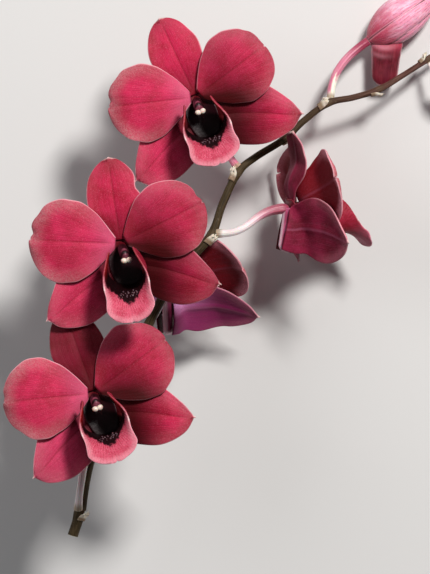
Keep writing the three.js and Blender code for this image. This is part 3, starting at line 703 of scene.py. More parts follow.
def outline(s, widest, fullness):
    """Share of the full half-width: (1 - x^2)^fullness up to the widest place, then an ellipse."""
    below = (1 - np.clip((widest - s) / widest, 0, 1) ** 2) ** fullness
    above = sqrt(np.maximum(0, 1 - np.clip((s - widest) / (1 - widest), 0, 1) ** 2))
    return np.where(s < widest, below, above)


def dented(along, across, length, dents):
    """Pulls a margin in towards the blade's middle by depth * exp(-(r / width)^2) round each dent,
    given as (along, across, depth, width) in mm."""
    for place, side, depth, width in dents:
        inward = unit([0.5 * length - place, -side])
        pull = depth * np.exp(-((along - place) ** 2 + (across - side) ** 2) / width**2)
        along, across = along + inward[0] * pull, across + inward[1] * pull
    return along, across


def petal_fan(s):
    """Half-width in mm of the fan that a petal's veins spread in, from its claw."""
    return 1.2 + 15.5 * np.maximum(s, 1e-6) ** 0.8


def petal_sheet(side, phase, half_width, turn, dents):
    """A broad petal, its axis 75 - turn degrees from the dorsal sepal. Its half-width is
    2.1 (1-s)^2 + half_width * outline(s) + 0.25 s mm. It is arched by 2.2 sin(2.7 s) - 2.6 s^4 -
    1.3 t^2 s, with slow waves and finer ruffles that grow towards the margin, a shallow channel
    along the midrib, and the blade swollen 0.06 mm between its fanned veins."""
    outwards, upwards = sin(radians(75 - turn)), cos(radians(75 - turn))

    def sheet(s, t):
        half = 2.1 * (1 - s) ** 2 + half_width * outline(s, 0.6, 1.05) + 0.25 * s
        ripple = 1 + 0.01 * sin(13 * s + 2 * phase) * t**2 + 0.007 * sin(29 * s + phase)
        along, across = dented(PETAL_LENGTH * s, half * t * ripple, PETAL_LENGTH, dents)
        arch = 2.2 * sin(2.7 * s) - 2.6 * s**4 - 1.3 * t**2 * s
        wave = 0.6 * t**3 * sin(9 * s + phase) + 0.45 * s**4 * cos(5 * t + phase)
        ruffle = 0.28 * t**4 * s * sin(21 * s + 3 * phase + 2 * np.sign(t))
        channel = -0.42 * bell(half * t, 0, 1.3) * smoothstep(0, 0.2, s) * (1 - s**3)
        swollen = cos(10 * pi * half * t / petal_fan(s) + 0.8 * sin(7 * s))
        quilt = -0.06 * swollen * smoothstep(0.1, 0.4, s) * (1 - t**6)
        x = side * (1.9 + along * outwards - across * upwards)
        y = 0.8 + along * upwards + across * outwards
        return np.stack([x, y, 0.9 + arch + wave + ruffle + channel + quilt], -1)

    return sheet


def dorsal_sheet(phase, reach, turn, dents):
    """The dorsal sepal, turned a little aside. Its half-width is 3 (1-s) + 8.9 outline(s) + 0.2 s mm.
    It is arched by 1.2 sin(3.1 s) - 3 s^3 - t^2 s, drawn out to a blunt point, with a fold along its
    midrib and the blade swollen 0.05 mm between its veins."""
    length = DORSAL_LENGTH * reach
    sine, cosine = sin(radians(turn)), cos(radians(turn))

    def sheet(s, t):
        half = 3 * (1 - s) + 8.9 * outline(s, 0.58, 1.5) + 0.2 * s
        ripple = 1 + 0.012 * sin(15 * s + phase) * t**2
        point = 0.9 * smoothstep(0.93, 1, s) * (1 - np.abs(t)) ** 2
        along, across = dented(length * s + point, half * t * ripple, length, dents)
        arch = 1.2 * sin(3.1 * s) - 3 * s**3 - t**2 * s
        wave = 0.4 * t**3 * sin(8 * s + phase) + 0.18 * t**4 * sin(25 * s + 2 * phase)
        channel = -0.5 * bell(half * t, 0, 1.1) * smoothstep(0.05, 0.3, s) * (1 - s**4)
        swollen = cos(10 * pi * t + 0.6 * sin(8 * s))
        quilt = -0.05 * swollen * smoothstep(0.1, 0.4, s) * (1 - t**6)
        x, y = across * cosine - along * sine, across * sine + along * cosine
        return np.stack([x, 1.3 + y, arch + wave + channel + quilt - 1.3], -1)

    return sheet


def lateral_sheet(side, lift, reach, phase):
    """A lateral sepal: ruled between its upper and lower margins, bulged 1.3 sin(pi share) forwards
    in the blade and 0.9 mm outwards round the mentum, with a groove along its midrib, the blade
    swollen 0.05 mm between its veins, and a small hard point at its tip."""

    def sheet(s, t):
        share = (1 - t) / 2
        upper, lower = upper_margin(s), lower_margin(s)
        x, y, z = np.moveaxis(upper * (1 - share[..., None]) + lower * share[..., None], -1, 0)
        swell = sin(pi * share) * (1 - s**6)
        part = smoothstep(0.15, 0.45, s)
        nib = smoothstep(0.965, 1, s) * (1 - np.abs(t)) ** 2
        x = (x - 0.9 * swell * (1 - part) - nib) * (1 + (reach - 1) * part)
        y = y + lift * np.maximum(0, np.abs(x) - 6) - 0.55 * nib
        width = np.linalg.norm(lower - upper, axis=-1) / 2
        groove = -0.75 * bell(width * t, 0, 1.4) * part * (1 - s**3)
        swollen = cos(10 * pi * t + 0.6 * sin(8 * s))
        quilt = -0.05 * swollen * part * (1 - t**6) * (1 - s**8)
        wave = part * (0.35 * t**3 * sin(9 * s + phase) + 0.2 * t**4 * sin(24 * s + phase))
        return np.stack([-side * x, y, z + 1.3 * swell * part + groove + quilt + wave], -1)

    return sheet


def tepal_skin():
    """Inside, velvety crimson-rose, with a bright flush of painted light and a painted shade that is
    deepest towards the foot and stands for the shadows that the lip and the petals cast; fine broken
    darker veins, a papillose grain of paler specks and a speckled band along the margin. Outside,
    red-brown on petals, purplish on sepals and violet on some, with pale veins, a pale fringe and, on
    the violet ones, a painted highlight near the foot. The rim is a pale pink thread, partly painted
    highlight where the edge catches the light and dimmed by the painted shade, and a sepal's hard tip
    is pale."""
    skin = Finish("tepal_skin", Roughness=0.6, Specular_IOR_Level=0.14, Sheen_Weight=0.035,
                  Sheen_Roughness=0.4, Sheen_Tint=(1, 0.45, 0.62, 1), Subsurface_Weight=0.1,
                  Subsurface_Scale=0.0012, Subsurface_Radius=(1, 0.25, 0.3))
    share, across = skin.growth()
    edge, front, shade, glow, pointed = skin.attributes("edge front shade glow pointed")
    violet, place, spread = skin.attributes("violet vein spread")
    cloud = skin.noise(110, 4, 0.6)
    grain, coarse = skin.noise(2900, 2, 0.6), skin.noise(2000, 3, 0.7)
    bent = place + (skin.noise(150) - 0.5) * 0.07
    main = lines(bent, 10, spread, 0.24) * 0.6
    branch = lines(bent, 34, spread, 0.16) * share.ramp(0.2, 0.6, 0.1, 0.6)
    broken = skin.noise(420, 3, 0.6).ramp(0.38, 0.6, 0.25, 1)
    rib = (place.math("ABSOLUTE") * spread).ramp(0.05, 0.8, 0.85, 0)
    vein = (main.math("MAXIMUM", branch) * broken).math("MAXIMUM", rib) * edge.ramp(0.8, 5)
    papilla = grain.ramp(0.5, 0.72, 0, 0.32)
    pale = skin.attribute("pale") * share.ramp(0.15, 0.85, 0.3, 1.35)
    band = edge.ramp(0.2, 7, 1, 0) * pale * coarse.ramp(0.36, 0.66, 0.25, 1)
    # Over the inner colour lie a bright flush of painted light and, last, the painted shade that stands
    # for the shadows of the lip and the petals.
    inner = cloud.ramp(0.34, 0.66).mix((0.4, 0.004, 0.027), (0.6, 0.012, 0.07)).under(
        (glow, (0.72, 0.11, 0.27)),
        (vein * 0.56, (0.2, 0.002, 0.008)),
        (papilla, (0.84, 0.17, 0.27)),
        (band * 0.7, (0.58, 0.25, 0.26)),
        (shade, (0.04, 0.001, 0.001)))
    purplish = cloud.ramp(0.34, 0.66).mix((0.12, 0.004, 0.016), (0.23, 0.01, 0.042))
    fringe = edge.ramp(1, 5.5, 1, 0) * (pale * share.ramp(0.35, 0.75))
    # ridge: a painted highlight on the outside, near the foot towards the upper margin.
    ridge = share.ramp(0.22, 0.66, 1, 0) * across.ramp(-0.3, 0.45, 0.08, 1)
    outer = cloud.mix((0.1, 0.002, 0.004), (0.24, 0.007, 0.014)).under(
        (pointed, purplish),
        (violet, (0.25, 0.014, 0.105)),
        (vein * pointed.ramp(0, 1, 0.08, 0.15), (0.46, 0.13, 0.22)),
        (papilla, (0.4, 0.06, 0.11)),
        (fringe * coarse.ramp(0.3, 0.6, 0.45, 1) * 0.8, (0.66, 0.24, 0.3)),
        (rib * pointed.ramp(0, 1, 0.08, 0.18), (0.48, 0.15, 0.26)),
        (ridge * coarse.ramp(0.3, 0.55, 0.7, 1) * violet, (0.82, 0.36, 0.68)))
    # The pale rim is partly the margin's own paleness and partly painted highlight where the edge
    # catches the light; the painted shade dims it.
    rim = (edge + coarse * 0.4).ramp(0.25, 0.75, 1, 0) * front.ramp(0, 0.5, 0.2, 0.62)
    both = front.ramp(0.3, 0.6).mix(outer, inner).under(
        (rim * shade.ramp(0.1, 0.55, 1, 0.2), (0.88, 0.48, 0.54)),
        (share.ramp(0.975, 1, 0, 0.8) * pointed, (0.9, 0.66, 0.62)))
    return skin.worn(both, grain * 0.35 + coarse * 0.25 - vein * 0.5, 0.00014)


def tepal(bloom, part, sheet, rows, facing, pale, glow, shade):
    """One blade, leaned and placed. rows is (widest place, rows to it, rows past it, columns), and
    pale is the share of the pale band. The painted light is a bright flush at the foot, past it, and
    added on the upper half. shade is painted shade, standing for the shadows that the lip and the
    petals cast: its depth at the foot, where that starts to fade, where it has faded, its depth over
    the whole blade, and its depth along the lower margin. It is lighter on a petal's upper half and
    deepens towards the tip."""
    pointed = 0 if part.startswith("petal") else 1

    def leaning(s, t):
        return leaned(sheet(s, t), *bloom["lean"])

    points, faces, uv, values = blade(leaning, rows_to_tip(*rows[:3]), even_round(rows[3]), facing,
                                      BLADE_THICK / bloom["size"], 0.7)
    s, t = uv.T
    foot, beyond, upper = glow
    depth, start, end, least, lower = shade
    glow = foot + (beyond - foot) * smoothstep(0, 0.42, s)
    # Painted shade along the lower margin, and less of the foot's painted shade on a petal's upper
    # half.
    under = lower * smoothstep(-0.1, 0.9, -t) * (1 - smoothstep(0.35, 0.85, s))
    lighter = 1 - 0.6 * (1 - pointed) * smoothstep(-0.2, 0.8, t)
    fade = np.clip(depth * lighter * (1 - smoothstep(start, end, s)) + under, 0, 0.97)
    spread = values["half"] if pointed else petal_fan(s)
    values |= {
        "pale": pale, "pointed": pointed, "violet": VIOLET_AND_PAINTED_HIGHLIGHT.get(bloom["name"], 0) * pointed,
        "glow": glow + upper * smoothstep(-0.1, 0.9, t) * smoothstep(0.1, 0.4, s),
        "shade": least + (1 - least) * fade + 0.22 * smoothstep(0.7, 1, s),
        "vein": values["half"] * t / spread, "spread": spread,
    }
    grown_piece(f"{bloom['name']}_{part}", "blade", "tepal",
                (in_spray(bloom, points), faces, uv, values, TEPAL_SKIN))


TEPAL_SKIN = tepal_skin()
PETAL_ROWS, DORSAL_ROWS, LATERAL_ROWS = (0.6, 32, 32, 56), (0.58, 30, 30, 44), (0.7, 30, 30, 44)
# Pale band, painted light and painted shade of the left and of the right petal.
PETAL_LOOKS = [(1, (0.5, 0.1, 0), (0, 0, 0.3, 0, 0.3)),
               (0.45, (0, 0.05, 0.1), (0.62, 0.15, 0.95, 0.13, 0.5))]
for order, bloom in enumerate(BLOOMS):
    name = bloom["name"]
    dorsal = dorsal_sheet(order, *bloom["dorsal"], DORSAL_DENTS.get(name, []))
    # The dorsal sepal: pale band, painted light and painted shade, its painted shade over the whole
    # blade set bloom by bloom.
    tepal(bloom, "dorsal_sepal", dorsal, DORSAL_ROWS, -1,
          0.2, (0, 0.03, 0), (0.5, 0.1, 0.5, DORSAL_PAINTED_SHADE.get(name, 0.1), 0))
    # Pale band, painted light and painted shade of the left and of the right lateral sepal; the painted
    # shade stands for the shadows of the lip and the petals on them.
    lateral_looks = [(0.35, (0, LEFT_LATERAL_PAINTED_LIGHT.get(name, 0.15), 0), (0.9, 0.36, 0.62, 0, 0)),
                     (0.35, (0, 0.05, 0.12), (0.95, 0.46, 0.8, RIGHT_LATERAL_PAINTED_SHADE.get(name, 0.08), 0))]
    for key, (side, word) in enumerate(((-1, "left"), (1, "right"))):
        petal = petal_sheet(side, order + 3 * key, *bloom["petals"][key], PETAL_DENTS[name][key])
        tepal(bloom, f"petal_{word}", petal, PETAL_ROWS, side, *PETAL_LOOKS[key])
        lateral = lateral_sheet(side, bloom["lift"][key], bloom["reach"][key], order)
        tepal(bloom, f"lateral_sepal_{word}", lateral, LATERAL_ROWS, side, *lateral_looks[key])

# ---- the lips ------------------------------------------------------------------------------------
# The third petal: its side lobes curl up into a tube round the column, and the mid-lobe spreads
# forwards, pale pink. The throat is maroon-black, with small glistening warts on its keels.
lip_floor = curve([[-15.9, -2.7], [-17, 2.5], [-17.5, 8], [-17.8, 13], [-19.8, 17.6],
                   [-24, 21.4], [-27.9, 23.6]])
lip_half_arc = curve([6, 15, 20.4, 19.4, 10.2, 10, 9.8])
lip_curl = curve([1, 1, 1, 1, 0.75, 0.25, 0.06])
LIP_TUBE = 7.4  # mm, the side lobes' radius
LIP_STRAIGHT = 1.9  # the angle past which they run straight
LIP_ROUND = 0.7  # the share past which the mid-lobe rounds off
WART_ROWS = {
    0.52: (-2.2, -0.3, 1.8), 0.565: (-3, -1.7, -0.2, 1.5, 2.9),
    0.6: (-3.6, -2.2, -0.9, 0.7, 1.9, 3.3), 0.635: (-2.7, -1.2, 0.2, 1.6, 2.8),
}


def mid_lobe(u, least):
    """1, falling as a quarter ellipse past LIP_ROUND, but not below the root of least."""
    return sqrt(np.maximum(least, 1 - (np.maximum(0, u - LIP_ROUND) / (1 - LIP_ROUND)) ** 2))


def lip_sheet(phase, widen, swing):
    """The lip along its floor (y, z) and round it: an arc of half-length arc(u) v, curled to radius
    7.4 / curl(u), so x = sin(a) / c and rise = (1 - cos(a)) / c up to 1.9 rad and straight on from
    there, all widened a little in some blooms. The mid-lobe rounds off by an ellipse. The margin is
    finely crisped, the floor carries three low keels, and the lip swings on its claw."""
    sine, cosine, claw = sin(radians(swing)), cos(radians(swing)), lip_floor(0)[1]

    def sheet(u, v):
        floor, along, curl = lip_floor(u), direction(lip_floor, u), lip_curl(u) / LIP_TUBE
        waist = 1 - 0.05 * bell(u, 0.6, 0.03) * v**4
        arc = lip_half_arc(u) * mid_lobe(u, 0.0009) * waist * v
        angle = np.clip(curl * arc, -LIP_STRAIGHT, LIP_STRAIGHT)
        on = arc - angle / curl
        crisp = 0.3 * sin(26 * u + phase + 3 * v) + 0.2 * sin(47 * u - phase)
        crisp = smoothstep(0.62, 0.8, u) * v**4 * crisp
        side_crisp = (1 - smoothstep(0.5, 0.66, u)) * smoothstep(0.75, 1, np.abs(v))
        keel = 0.45 * smoothstep(0.2, 0.4, u) * (1 - smoothstep(0.62, 0.74, u))
        keel = keel * sum(bell(arc, place, 0.7) for place in (-1.9, 0, 1.9))
        dip = 0.5 * smoothstep(0.92, 1, u) * bell(arc, 0, 0.9)
        rise = (1 - cos(angle)) / curl + on * sin(angle) + keel + crisp - dip * 0.3
        x = (sin(angle) / curl + on * cos(angle)) * widen
        x = x * (1 + side_crisp * 0.3 * sin(24 * u + phase) / 8)
        y = floor[..., 0] + along[..., 1] * rise - dip * along[..., 0]
        ahead = floor[..., 1] - along[..., 0] * rise - dip * along[..., 1] - claw
        return np.stack([x * cosine + ahead * sine, y, claw + ahead * cosine - x * sine], -1)

    return sheet


def egg_shape(centre, axes, radii, rings, sides):
    """A closed egg: centre + axes * (radii * (sin b cos a, sin b sin a, cos b))."""
    polar = np.linspace(0.06, pi - 0.06, rings)[:, None]
    angle = np.linspace(0, 2 * pi, sides, endpoint=False)
    shell = sin(polar) * cos(angle), sin(polar) * sin(angle), cos(polar)
    shell = np.stack(np.broadcast_arrays(*shell), -1).reshape(-1, 3)
    local = np.concatenate([shell, [[0, 0, 1], [0, 0, -1]]]) * radii
    uv = tube_uv((cos(polar) + 1) / 2, angle / (2 * pi), 1, 0)
    return local @ axes + centre, tube_faces(rings, sides), uv


def lip_skin():
    """Inside: a maroon-black throat with a ragged edge, dark red side lobes, and a rose mid-lobe with
    pale specks and fine crimson rays. Outside: deep crimson, paler towards the end. The mid-lobe's
    rim is pale pink, with a paler spot where the side lobes end."""
    skin = Finish("lip_skin", Roughness=0.5, Specular_IOR_Level=0.12, Subsurface_Weight=0.1,
                  Subsurface_Scale=0.001, Subsurface_Radius=(1, 0.25, 0.3))
    share = skin.growth()[0]
    edge, front, arc, fan, far, tooth = skin.attributes("edge front arc fan far tooth")
    wide = arc.math("ABSOLUTE")
    cloud, grain = skin.noise(260, 3, 0.6), skin.noise(3200, 2, 0.6)
    ragged = skin.streaks(share * 16, arc * 0.75, 3, 0.7) - 0.5
    inside = share + ragged * 0.16 - wide.ramp(0, 6.8, 0.74, 0.59)
    ray = lines(fan + (cloud - 0.5) * 0.1, 34, far, 0.22)
    ray = ray * skin.noise(900, 3, 0.6).ramp(0.36, 0.6, 0.1, 1)
    dark = wide.ramp(10.5, 17).mix((0.01, 0.001, 0.002), (0.27, 0.008, 0.011))
    inner = cloud.ramp(0.3, 0.7).mix((0.48, 0.04, 0.085), (0.62, 0.085, 0.15)).under(
        (ray * inside.ramp(0, 0.2, 0.95, 0.5), (0.34, 0.01, 0.03)),
        (grain.ramp(0.5, 0.72, 0, 0.4), (0.84, 0.36, 0.42)),
        (edge.ramp(0.6, 3, 0.35, 0), (0.86, 0.44, 0.5)),
        (inside.ramp(-0.03, 0.03, 1, 0), dark))
    outer = cloud.ramp(0.3, 0.7).mix((0.27, 0.01, 0.025), (0.4, 0.028, 0.062)).under(
        (ray * 0.35, (0.16, 0.004, 0.01)),
        (share.ramp(0.6, 0.85, 0, 0.6), (0.72, 0.24, 0.34)))
    rim = (edge + grain * 0.3).ramp(0.12, 0.42, 1, 0) * share.ramp(0.56, 0.68, 0.12, 0.6)
    both = front.ramp(0.3, 0.6).mix(outer, inner).under(
        (rim, (0.84, 0.42, 0.48)),
        (tooth * 0.75, (0.94, 0.76, 0.74)))
    return skin.worn(both, grain * 0.5 - ray * 0.7, 0.00012)


def wart_skin():
    """Glistening dull purple, darker at the foot."""
    skin = Finish("wart_skin", Roughness=0.3, Subsurface_Weight=0.15, Subsurface_Scale=0.0005)
    cloud = skin.noise(1800)
    ground = skin.growth()[0].ramp(0.35, 0.8).mix((0.02, 0.003, 0.007), (0.085, 0.036, 0.048)).under(
        (cloud.ramp(0.45, 0.7, 0, 0.4), (0.12, 0.05, 0.06)))
    return skin.worn(ground, cloud, 0.00005)


LIP_SKIN, WART_SKIN = lip_skin(), wart_skin()
for order, bloom in enumerate(BLOOMS):
    sheet = lip_sheet(order, *bloom["lip"])
    points, faces, uv, values = blade(sheet, rows_to_tip(LIP_ROUND, 46, 30), even_round(84), 1,
                                      BLADE_THICK / bloom["size"], 0.8)
    u, v = uv.T
    arc = lip_half_arc(u) * mid_lobe(u, 0.001) * v
    ahead = np.maximum(34 * (u - 0.62) + 9, 1)  # mm past the point that the rays spread from
    tooth = bell(u, 0.635, 0.014) * smoothstep(0.93, 1, np.abs(v))
    values |= {"arc": arc, "fan": np.arctan2(arc, ahead), "far": np.hypot(arc, ahead), "tooth": tooth}
    parts = [(in_spray(bloom, points), faces, uv, values, LIP_SKIN)]
    warts = [(u, place) for u, row in WART_ROWS.items() for place in row]
    for count, (u, place) in enumerate(warts):
        v = place / lip_half_arc(u)
        spot, ahead, beside = sheet(np.array([u, u + 0.01, u]), np.array([v, v, v + 0.01]))
        forward, sideways = unit(ahead - spot), unit(beside - spot)
        lift = unit(np.cross(forward, sideways))
        size = 1 + 0.28 * sin(3.7 * count + order) + 0.16 * sin(7.9 * count)
        egg, faces, uv = egg_shape(spot + lift * 0.45, np.stack([sideways, forward, lift]),
                                   np.array([0.32, 0.44, 0.36]) * size, 10, 14)
        parts.append((in_spray(bloom, egg), faces, uv, {}, WART_SKIN))
    grown_piece(f"{bloom['name']}_lip", "lobes", "lip", *parts)

# ---- the columns ---------------------------------------------------------------------------------
# The stout column in the throat bears the anther under a cream cap of two lobes. It is dark maroon
# below, and pink on its back and shoulders, partly its own flush and partly painted highlight, and
# its foot runs down to the lip's claw.
CAP_RADII = np.array([1.24, 1.04, 1.16])  # mm, of each of the cap's two lobes


def column_width(share, angle):
    """From 1.8 to 2.7 mm, with two low wings beside the stigma, drawn in at its end."""
    wing = 1 + 0.1 * smoothstep(0.45, 0.9, share) * cos(2 * angle) + 0.03 * cos(5 * angle)
    return (1.8 + 0.9 * share) * wing * sqrt(1 - 0.55 * smoothstep(0.86, 1, share))


def column_depth(share, angle):
    """85 % of its width."""
    return 0.85 * column_width(share, angle)


def foot_sheet(s, t):
    """The column's foot, a shallow trough from behind the column (y = 3) to the lip's claw
    (y = -16.6), 3.4 mm wide either way at its ends and 6.2 between, its edges 1.5 mm forward."""
    half = 3.4 + 2.8 * sin(pi * s) ** 0.7
    z = -2.1 - 0.5 * sin(pi * s) + 1.5 * t**2 * sin(pi * s)
    return np.stack([half * t, 3 - 19.6 * s, z], -1)


def column_skin():
    """Maroon-black at its foot and dark red above, pink on its back, partly its own flush and partly
    painted highlight, with a paler spot of painted highlight behind the cap. The outside of the
    column's foot is crimson."""
    skin = Finish("column_skin", Roughness=0.42, Specular_IOR_Level=0.25)
    back, cloud = skin.attribute("back"), skin.noise(600, 3)
    red = skin.growth()[0].ramp(0.05, 0.4, 1, 0)
    ground = red.mix((0.014, 0.001, 0.003), (0.15, 0.005, 0.012)).under(
        # Pink on the back, partly painted highlight, then a paler painted highlight spot behind the
        # cap.
        ((back + cloud * 0.4).ramp(0.75, 1.2), (0.36, 0.08, 0.13)),
        (back.ramp(0.84, 0.98, 0, 0.8), (0.66, 0.3, 0.34)),
        (skin.attribute("outside"), (0.2, 0.008, 0.024)))
    return skin.worn(ground, cloud, 0.00015)


def cap_skin():
    """Cream, waxy, faintly pink in its furrow."""
    skin = Finish("cap_skin", Roughness=0.28, Subsurface_Weight=0.25, Subsurface_Scale=0.0008)
    cloud = skin.noise(900, 3)
    ground = cloud.ramp(0.35, 0.65).mix((0.9, 0.78, 0.66), (0.84, 0.62, 0.54)).under(
        (skin.growth()[0].ramp(0, 0.35, 0.6, 0), (0.6, 0.24, 0.24)))
    return skin.worn(ground, cloud, 0.0001)


COLUMN_SKIN, CAP_SKIN = column_skin(), cap_skin()
for bloom in BLOOMS:
    sway = bloom["sway"]
    line = curve([[0, -1, -0.4], [0.4 * sway, -2.6, 3.6], [sway, -5.4, 7.6]])
    points, faces, uv = stem_grid(line, column_width, column_depth, [1, 0, 0], 44, 36)
    up = unit(points - line(uv[:, 0]) + 1e-9)[:, 1]
    # back: where the column's back is pink, partly painted highlight; its peak is the painted highlight
    # spot behind the cap.
    back = np.maximum(up * bell(uv[:, 0], 0.76, 0.18), 0.75 * smoothstep(0.84, 0.97, uv[:, 0]))
    parts = [(in_spray(bloom, points), faces, uv, {"back": back}, COLUMN_SKIN)]
    points, faces, uv, values = blade(foot_sheet, np.linspace(0, 1, 30), even_round(22), -1, 0.6, 0.5)
    parts.append((in_spray(bloom, points), faces, uv, {"outside": values["front"]}, COLUMN_SKIN))
    for side in (-1, 1):
        axes = rotation(2, -radians(14) * side) @ rotation(0, 0.5)
        egg, faces, uv = egg_shape(np.array([sway + side * 0.93, -5.9, 8.35]), axes, CAP_RADII, 22, 28)
        parts.append((in_spray(bloom, egg), faces, uv, {}, CAP_SKIN))
    grown_piece(f"{bloom['name']}_column", "body", "column", *parts)

# ---- the buds ------------------------------------------------------------------------------------
# Near the tip hangs one large closed bud, its sepals meeting in dark seams, with the flat spur of
# its mentum below. Three small unopened buds end the stem.
BUD_FOOT, BUD_TIP = np.array([60.8, 97.4, 14.5]), np.array([88, 116.5, 15])
# A seam's place round the bud, as a share of the turn, and how far it wanders, in radians.
BUD_SEAMS = [(0.25, -0.06), (-0.03, 0.8), (0.6, 0.1)]
TIP_BUD_SEAMS = [(0.1, 0.3), (0.45, -0.2), (0.8, 0.1)]
spur_line = curve([[68.3, 100, 14.2], [67.45, 89.75, 13.1], [66.6, 79.5, 12]])
TIP_BUDS = [
    {"share": 0.9, "out": [0.35, -0.85, 0.4], "stalk": 9, "length": 13, "radius": 3.3},
    {"share": 0.985, "out": [-0.35, 0.9, 0.2], "stalk": 5, "length": 9.5, "radius": 2.5},
    {"share": 1, "out": [0.8, 0.6, 0], "stalk": 0, "length": 7, "radius": 1.8},
]


def bud_parts(foot, tip, radius, seams, rings, sides):
    """An egg pointed at its far end: radius (0.12 + 0.88 sin(pi share^0.85)^0.75), pressed in 7 % in
    a narrow groove along each seam and bulged a little beside it. The seams wander as they run."""
    line = curve([foot, (foot + tip) / 2, tip])

    def egg(share):
        return radius * (0.12 + 0.88 * sin(pi * np.clip(share, 0.012, 0.992) ** 0.85) ** 0.75)

    def from_seams(share, angle):
        """How far a point lies round the bud from each seam, in radians."""
        places = [2 * pi * place + bend * sin(pi * share) for place, bend in seams]
        return np.array([np.abs((angle - place + pi) % (2 * pi) - pi) for place in places])

    def width(share, angle):
        away = from_seams(share, angle)
        return egg(share) * (1 + (0.02 * bell(away, 0.35, 0.2) - 0.07 * bell(away, 0, 0.1)).sum(0))

    points, faces, uv = stem_grid(line, width, width, [0.1, 0.2, 1], rings, sides)
    size = egg(uv[:, 0])
    seam = from_seams(uv[:, 0], 2 * pi * uv[:, 1]).min(0) * size
    return points, faces, uv, {"seam": seam, "half": pi * size}, BUD_SKIN


def folds(share, turn):
    """Two soft folds round the spur below the bud, at shares 0.27 and 0.43, sagging in the middle."""
    place = share + 0.05 * turn**2
    return bell(place, 0.27, 0.055) + 0.6 * bell(place, 0.43, 0.05)


def spur_half(first, last, furrow, flare):
    """Half the spur's size, from first to last mm, times 1 + flare at the bud, swollen 3.5 % on each
    fold, pressed in along a broad furrow down each face, and drawn in over its last fifth."""

    def half(share, angle):
        close = sqrt(np.maximum(0.02, 1 - 0.98 * np.clip((share - 0.8) / 0.2, 0, 1) ** 2))
        pressed = 1 - furrow * smoothstep(0.3, 0.6, share) * bell(cos(angle), -0.1, 0.4)
        ripple = 1 + 0.02 * sin(5 * angle + 6 * share)
        swollen = 1 + 0.035 * folds(share, cos(angle))
        top = 1 + flare * (1 - smoothstep(0, 0.34, share))
        return (first + (last - first) * share) / 2 * close * pressed * ripple * swollen * top

    return half


def bud_stalk_width(share, angle):
    """From 1.5 to 1.8 mm with six soft ribs."""
    return (1.5 + 0.3 * share) * (1 + 0.03 * cos(6 * angle))


def tip_stalk_width(share, angle):
    """0.9 mm, a little more where it leaves the stem."""
    return 0.9 + 0.12 * bell(share, 0, 0.1) + 0 * angle


def bud_skin():
    """Deep rose at its foot, paler and glossier further on with mottled painted highlights, finely
    veined lengthwise, with thin dark maroon seams, pale beside, where the sepals meet."""
    skin = Finish("bud_skin", Roughness=0.38, Specular_IOR_Level=0.4, Sheen_Weight=0.15,
                  Subsurface_Weight=0.15, Subsurface_Scale=0.0015)
    share, turn = skin.growth()
    seam, cloud, grain = skin.attribute("seam"), skin.noise(190, 3), skin.noise(2600)
    vein = lines((turn + cloud * 0.04) * 2, 40, skin.attribute("half"), 0.26)
    vein = vein * skin.noise(700, 3).ramp(0.4, 0.6, 0.3, 1)
    ripe = share.ramp(0.02, 0.62, 0, 0.75) + cloud * 0.5
    # Painted highlight: pale mottled streaks on the panels away from the seams.
    painted_highlight = seam.ramp(0.8, 3.6) * skin.streaks(share * 5, turn * 16).ramp(0.42, 0.66)
    ground = ripe.ramp(0.25, 1).mix((0.47, 0.028, 0.075), (0.82, 0.3, 0.44)).under(
        (painted_highlight * share.ramp(0.15, 0.5, 0.15, 0.75), (0.94, 0.66, 0.78)),
        (vein * 0.4, (0.46, 0.035, 0.1)),
        (grain.ramp(0.55, 0.72, 0, 0.25), (0.9, 0.55, 0.64)),
        (seam.ramp(0.3, 1, 0.3, 0), (0.88, 0.52, 0.6)),
        (seam.ramp(0.08, 0.34, 1, 0), (0.12, 0.004, 0.02)))
    return skin.worn(ground, grain * 0.4 - vein, 0.00015)


def spur_skin():
    """Translucent maroon, crimson where it folds below the bud, with pale pink rims, a soft dark furrow
    down each face, and a painted highlight in pale pink on the folds, left off one side."""
    skin = Finish("spur_skin", Roughness=0.45, Specular_IOR_Level=0.25, Subsurface_Weight=0.2,
                  Subsurface_Scale=0.0015)
    share, turn = skin.growth()
    streak = skin.streaks(share * 3, turn * 34)
    ground = skin.noise(300, 3).ramp(0.3, 0.7).mix((0.075, 0.003, 0.008), (0.16, 0.012, 0.024)).under(
        (streak.ramp(0.4, 0.66, 0, 0.5), (0.26, 0.032, 0.052)),
        (share.ramp(0.42, 0.95, 0, 0.45), (0.15, 0.01, 0.022)),
        (share.ramp(0.16, 0.42, 0.85, 0), (0.44, 0.045, 0.085)),
        # The pale pink on the folds is a painted highlight.
        (skin.attribute("fold") * 0.6, (0.66, 0.24, 0.3)),
        (skin.attribute("furrow").ramp(0.2, 1, 0, 0.5), (0.12, 0.006, 0.02)),
        (skin.attribute("ridge").ramp(0.45, 1, 0, 0.7), (0.8, 0.42, 0.48)))
    return skin.worn(ground, streak + skin.noise(2400) * 0.4, 0.0002)


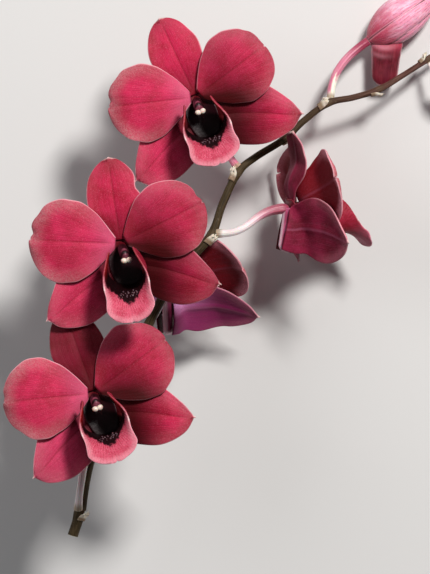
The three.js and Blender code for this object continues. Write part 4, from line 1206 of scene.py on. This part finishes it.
BUD_SKIN, SPUR_SKIN = bud_skin(), spur_skin()
points, faces, uv = stem_grid(spur_line, spur_half(12.8, 9.6, 0, 0), spur_half(7.6, 4.8, 0.3, -0.3),
                              [0, 0, 1], 80, 60)
share, turn = uv[:, 0], cos(2 * pi * uv[:, 1])
values = {
    "ridge": np.abs(turn) ** 7 + smoothstep(0.93, 1, share),
    # Where the painted highlight falls: on the folds, left off one side.
    "fold": np.clip(folds(share, turn), 0, 1) * smoothstep(-0.75, 0.3, turn),
    "furrow": smoothstep(0.3, 0.6, share) * bell(turn, -0.1, 0.3) * (1 - smoothstep(0.85, 1, share)),
}
grown_piece("large_bud", "sepals", "bud", bud_parts(BUD_FOOT, BUD_TIP, 8.6, BUD_SEAMS, 90, 90),
            (points, faces, uv, values, SPUR_SKIN))

out, axis = unit([0, 0.85, -0.5]), unit(BUD_TIP - BUD_FOOT)
path = bent_stalk(stalk_start(NODES[6], out, 1.5), out, 13, BUD_FOOT - axis * 0.3, -axis, 8)
points, faces, uv = stem_grid(path, bud_stalk_width, bud_stalk_width, [1, -1, 0], 90, 32)
share, turn = uv.T
sunny = unit(points - path(share) + 1e-9) @ unit([0.8, -0.2, 0.55])
torn = share + 0.05 * sin(26 * pi * turn) + 0.03 * sin(10 * pi * turn)
values = {"half": 5, "blush": 0.85 * smoothstep(0, 0.1, share),
          "paper": smoothstep(0.25, 0.5, sunny) * (1 - smoothstep(0.24, 0.28, torn))}
grown_piece("large_bud_pedicel", "stalk", "pedicel", (points, faces, uv, values, STALK_SKIN))

stem_end = unit(rachis_line(1) - rachis_line(0.97))
for number, bud in enumerate(TIP_BUDS, start=1):
    out, stalk = unit(bud["out"]), bud["stalk"]
    away = rachis_radius(bud["share"]) + 0.5 if stalk else 0.4
    start = rachis_line(bud["share"]) + out * away
    foot, heading = start + out * stalk, unit(out + stem_end)
    first = foot - heading * 0.5 if stalk else foot
    parts = [bud_parts(first, foot + heading * bud["length"], bud["radius"], TIP_BUD_SEAMS, 48, 48)]
    if stalk:
        line = curve([start, (start + foot) / 2, foot])
        stem = stem_grid(line, tip_stalk_width, tip_stalk_width, [0.2, 0.1, 1], 24, 24)
        parts.append((*stem, {"half": 3}, STALK_SKIN))
    grown_piece(f"tip_bud_{number}", "sepals", "bud", *parts)

# ---- the bounds of what is shown -----------------------------------------------------------------
low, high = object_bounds()
